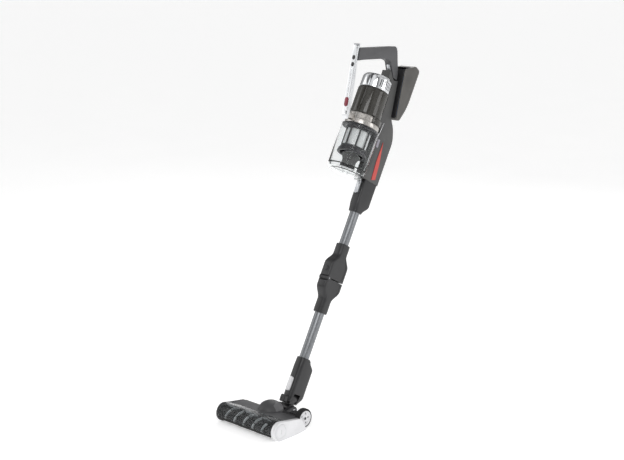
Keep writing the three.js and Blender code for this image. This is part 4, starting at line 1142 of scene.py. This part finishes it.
def makeStrip():
    half, depth, length = strip["half"], strip["depth"], strip["length"]
    body = plate([(0, 7), (0, length - 5), (3, length), (depth, length), (depth, 150), (depth + 4, 112),
                  (depth + 4, 4), (7, -5)], -half, half, [8, 14, 2, 2, 30, 30, 4, 3], 2.6, "X", 8)
    recesses = [button(0, z, wide + 0.4, tall + 0.4, -5, 4.4) for _, _, z, wide, tall, _, _, _ in keys]
    # Parting lines: along the front face between the keys, and round the foot.
    along = block(-0.9, 0.9, -1, 0.9, 61.6, 152.8)
    foot = carve(block(-12, 12, -3, 17, 24.3, 25.7), block(-half + 0.5, half - 0.5, 0.5, depth + 3.5, 20, 30))
    side = together(block(half - 0.4, half + 1, 5.2, 5.8, 26, 210),
                    block(-half - 1, 0.4 - half, 5.2, 5.8, 26, 210))
    body = carve(body, *recesses, along, foot, side)
    finish(body, "frontStrip", stripPlace, "chromePlate", "handheld", ["front_strip"], edge=0.2)
    for name, node, z, wide, tall, material, rides, slot in keys:
        finish(button(0, z, wide, tall, -1.4, 2.2, 1.2), name, stripPlace, material, rides, [node])


handle = {
    "half": 13,
    # outline in (y, z) with the radius of each corner
    "outline": [(-234.1, 1075, 1), (-150, 1119.3, 60), (-89, 1151, 16), (-77, 1146, 8), (-57, 1112, 12),
                (-43, 1092, 20), (-32.4, 1061.5, 1), (-52, 1061.5, 1.5), (-88, 1100.5, 5), (-112, 1098, 20),
                (-150, 1078.6, 40), (-205, 1050, 8), (-224.3, 1038.5, 1)],
}


def makeHandle():
    points, radii = outlineOf(handle["outline"])
    half = handle["half"]
    for side, name in ((1, "Right"), (-1, "Left")):
        grip = plate(points, -half, half, radii, 6, "X", 8)
        room = block(-6.4, 6.4, -8, 7.6, -17.4, 17.4)
        turn = Matrix.Translation((0, -69, 1081.5)) @ Matrix.Rotation(math.atan2(34, 37), 4, "X")
        bmesh.ops.transform(room, matrix=turn, verts=room.verts[:])
        other = block(-60, 0.15, -400, 200, 900, 1300) if side > 0 else block(-0.15, 60, -400, 200, 900, 1300)
        shell = carve(grip, room, other)
        finish(shell, "handleShell" + name, wandPlace, "mouldedAbsHandleGrey", "handheld",
               ["handle_shell_" + name.lower()], edge=0.25)
    screws = [turned([(0, -13.2), (3.4, -13.2), (3.4, -12.4), (0, -12.4)], y, z, "X", 0.2, 32)
              for y, z in ((-205, 1071), (-150, 1099), (-92, 1126))]
    finish(together(*screws), "handleScrews", wandPlace, "turnedSteel", "handheld")
    key = plate([(-3.4, -17), (3.8, -17), (3.8, 17), (-3.4, 17)], -6, 6, 3.4, 1.6, "X", 8)
    finish(key, "triggerKey", triggerPlace, "paintedSilver", "trigger_key", ["trigger"])


makeStrip()
makeHandle()
print("handle done")


# ---- battery
battery = {
    "half": 32,
    "outline": [(2.3, 950.7, 3), (20, 945, 10), (37, 1000, 24), (37, 1126, 9), (12, 1132, 6),
                (-31.7, 1100.8, 3)],
    "room": [(-30, 958), (19, 951), (34, 1001), (34, 1122), (13, 1127.5), (-60, 1095)],
}


def makeBattery():
    points, radii = outlineOf(battery["outline"])
    half = battery["half"]
    case = plate(points, -half, half, radii, 5, "X", 8)
    inner = plate(battery["room"], 3 - half, half - 3)
    release = block(-9.4, 9.4, 15.6, 30.4, 1124, 1140)
    # Joint line round the case, where its back meets its body.
    line = plate([(9, 944), (9.7, 944), (26.5, 1004), (26.5, 1136), (25.8, 1136), (25.8, 1004.2)], -40, 40)
    core = block(0.6 - half, half - 0.6, -60, 36.2, 946, 1130.5)
    case = carve(case, inner, release, carve(line, core))
    finish(case, "batteryCase", wandPlace, "satinAbsBattery", "battery",
           ["battery_case"], edge=0.3)
    key = block(-9, 9, 16, 30, 1125.5, 1131.4)
    ribs = together(*[block(-7, 7, y - 0.5, y + 0.5, 1130.6, 1133) for y in (19, 22, 25, 28)])
    finish(carve(key, ribs), "batteryRelease", wandPlace, "satinAbsDark", "battery_catch",
           ["battery_release"], edge=0.6)


makeBattery()
print("battery done")


# ---- the CAD nodes that stay: sealed or flat pieces, each with its own finish
kept = {
    "sole_plate": "mouldedAbsBlack", "pile_strip": "pileStripBlack", "roller_pulley": "mouldedAbsBlack",
    "motor_pulley": "turnedSteel", "drive_belt": "mouldedRubber", "head_motor": "drawnSteelCan",
    "wheel_axle": "turnedSteel", "neck_pin": "turnedSteel", "fold_pin": "turnedSteel",
    "fold_latch": "turnedSteel", "control_board": "solderMaskGreen", "suction_motor": "drawnSteelCan",
    "impeller": "mouldedAbsSaddleGrey", "battery_cover": "satinAbsDark", "battery_cells": "cellWrapBlue",
}
for node, material in kept.items():
    mesh = frame["nodes"][node].data
    mesh.materials.clear()
    mesh.materials.append(materials[material])


def makeFloor():
    bm = bmesh.new()
    bmesh.ops.create_grid(bm, x_segments=1, y_segments=1, size=floorFinish["side"] / 2)
    floor = toObject(bm, "floor")
    # matt emulsion, lit a little by itself so it stays white out to its edge
    material, tree, shader, place = startMaterial(
        "floorPaint", Emission_Color=hexColour(floorFinish["colour"]),
        Emission_Strength=floorFinish["glow"])
    mottleColour(tree, shader, place, floorFinish["colour"], "#fdfdfd", 400)
    wipeRoughness(tree, shader, place, 0.86, 0.94, 250)
    floor.data.materials.append(material)


makeFloor()
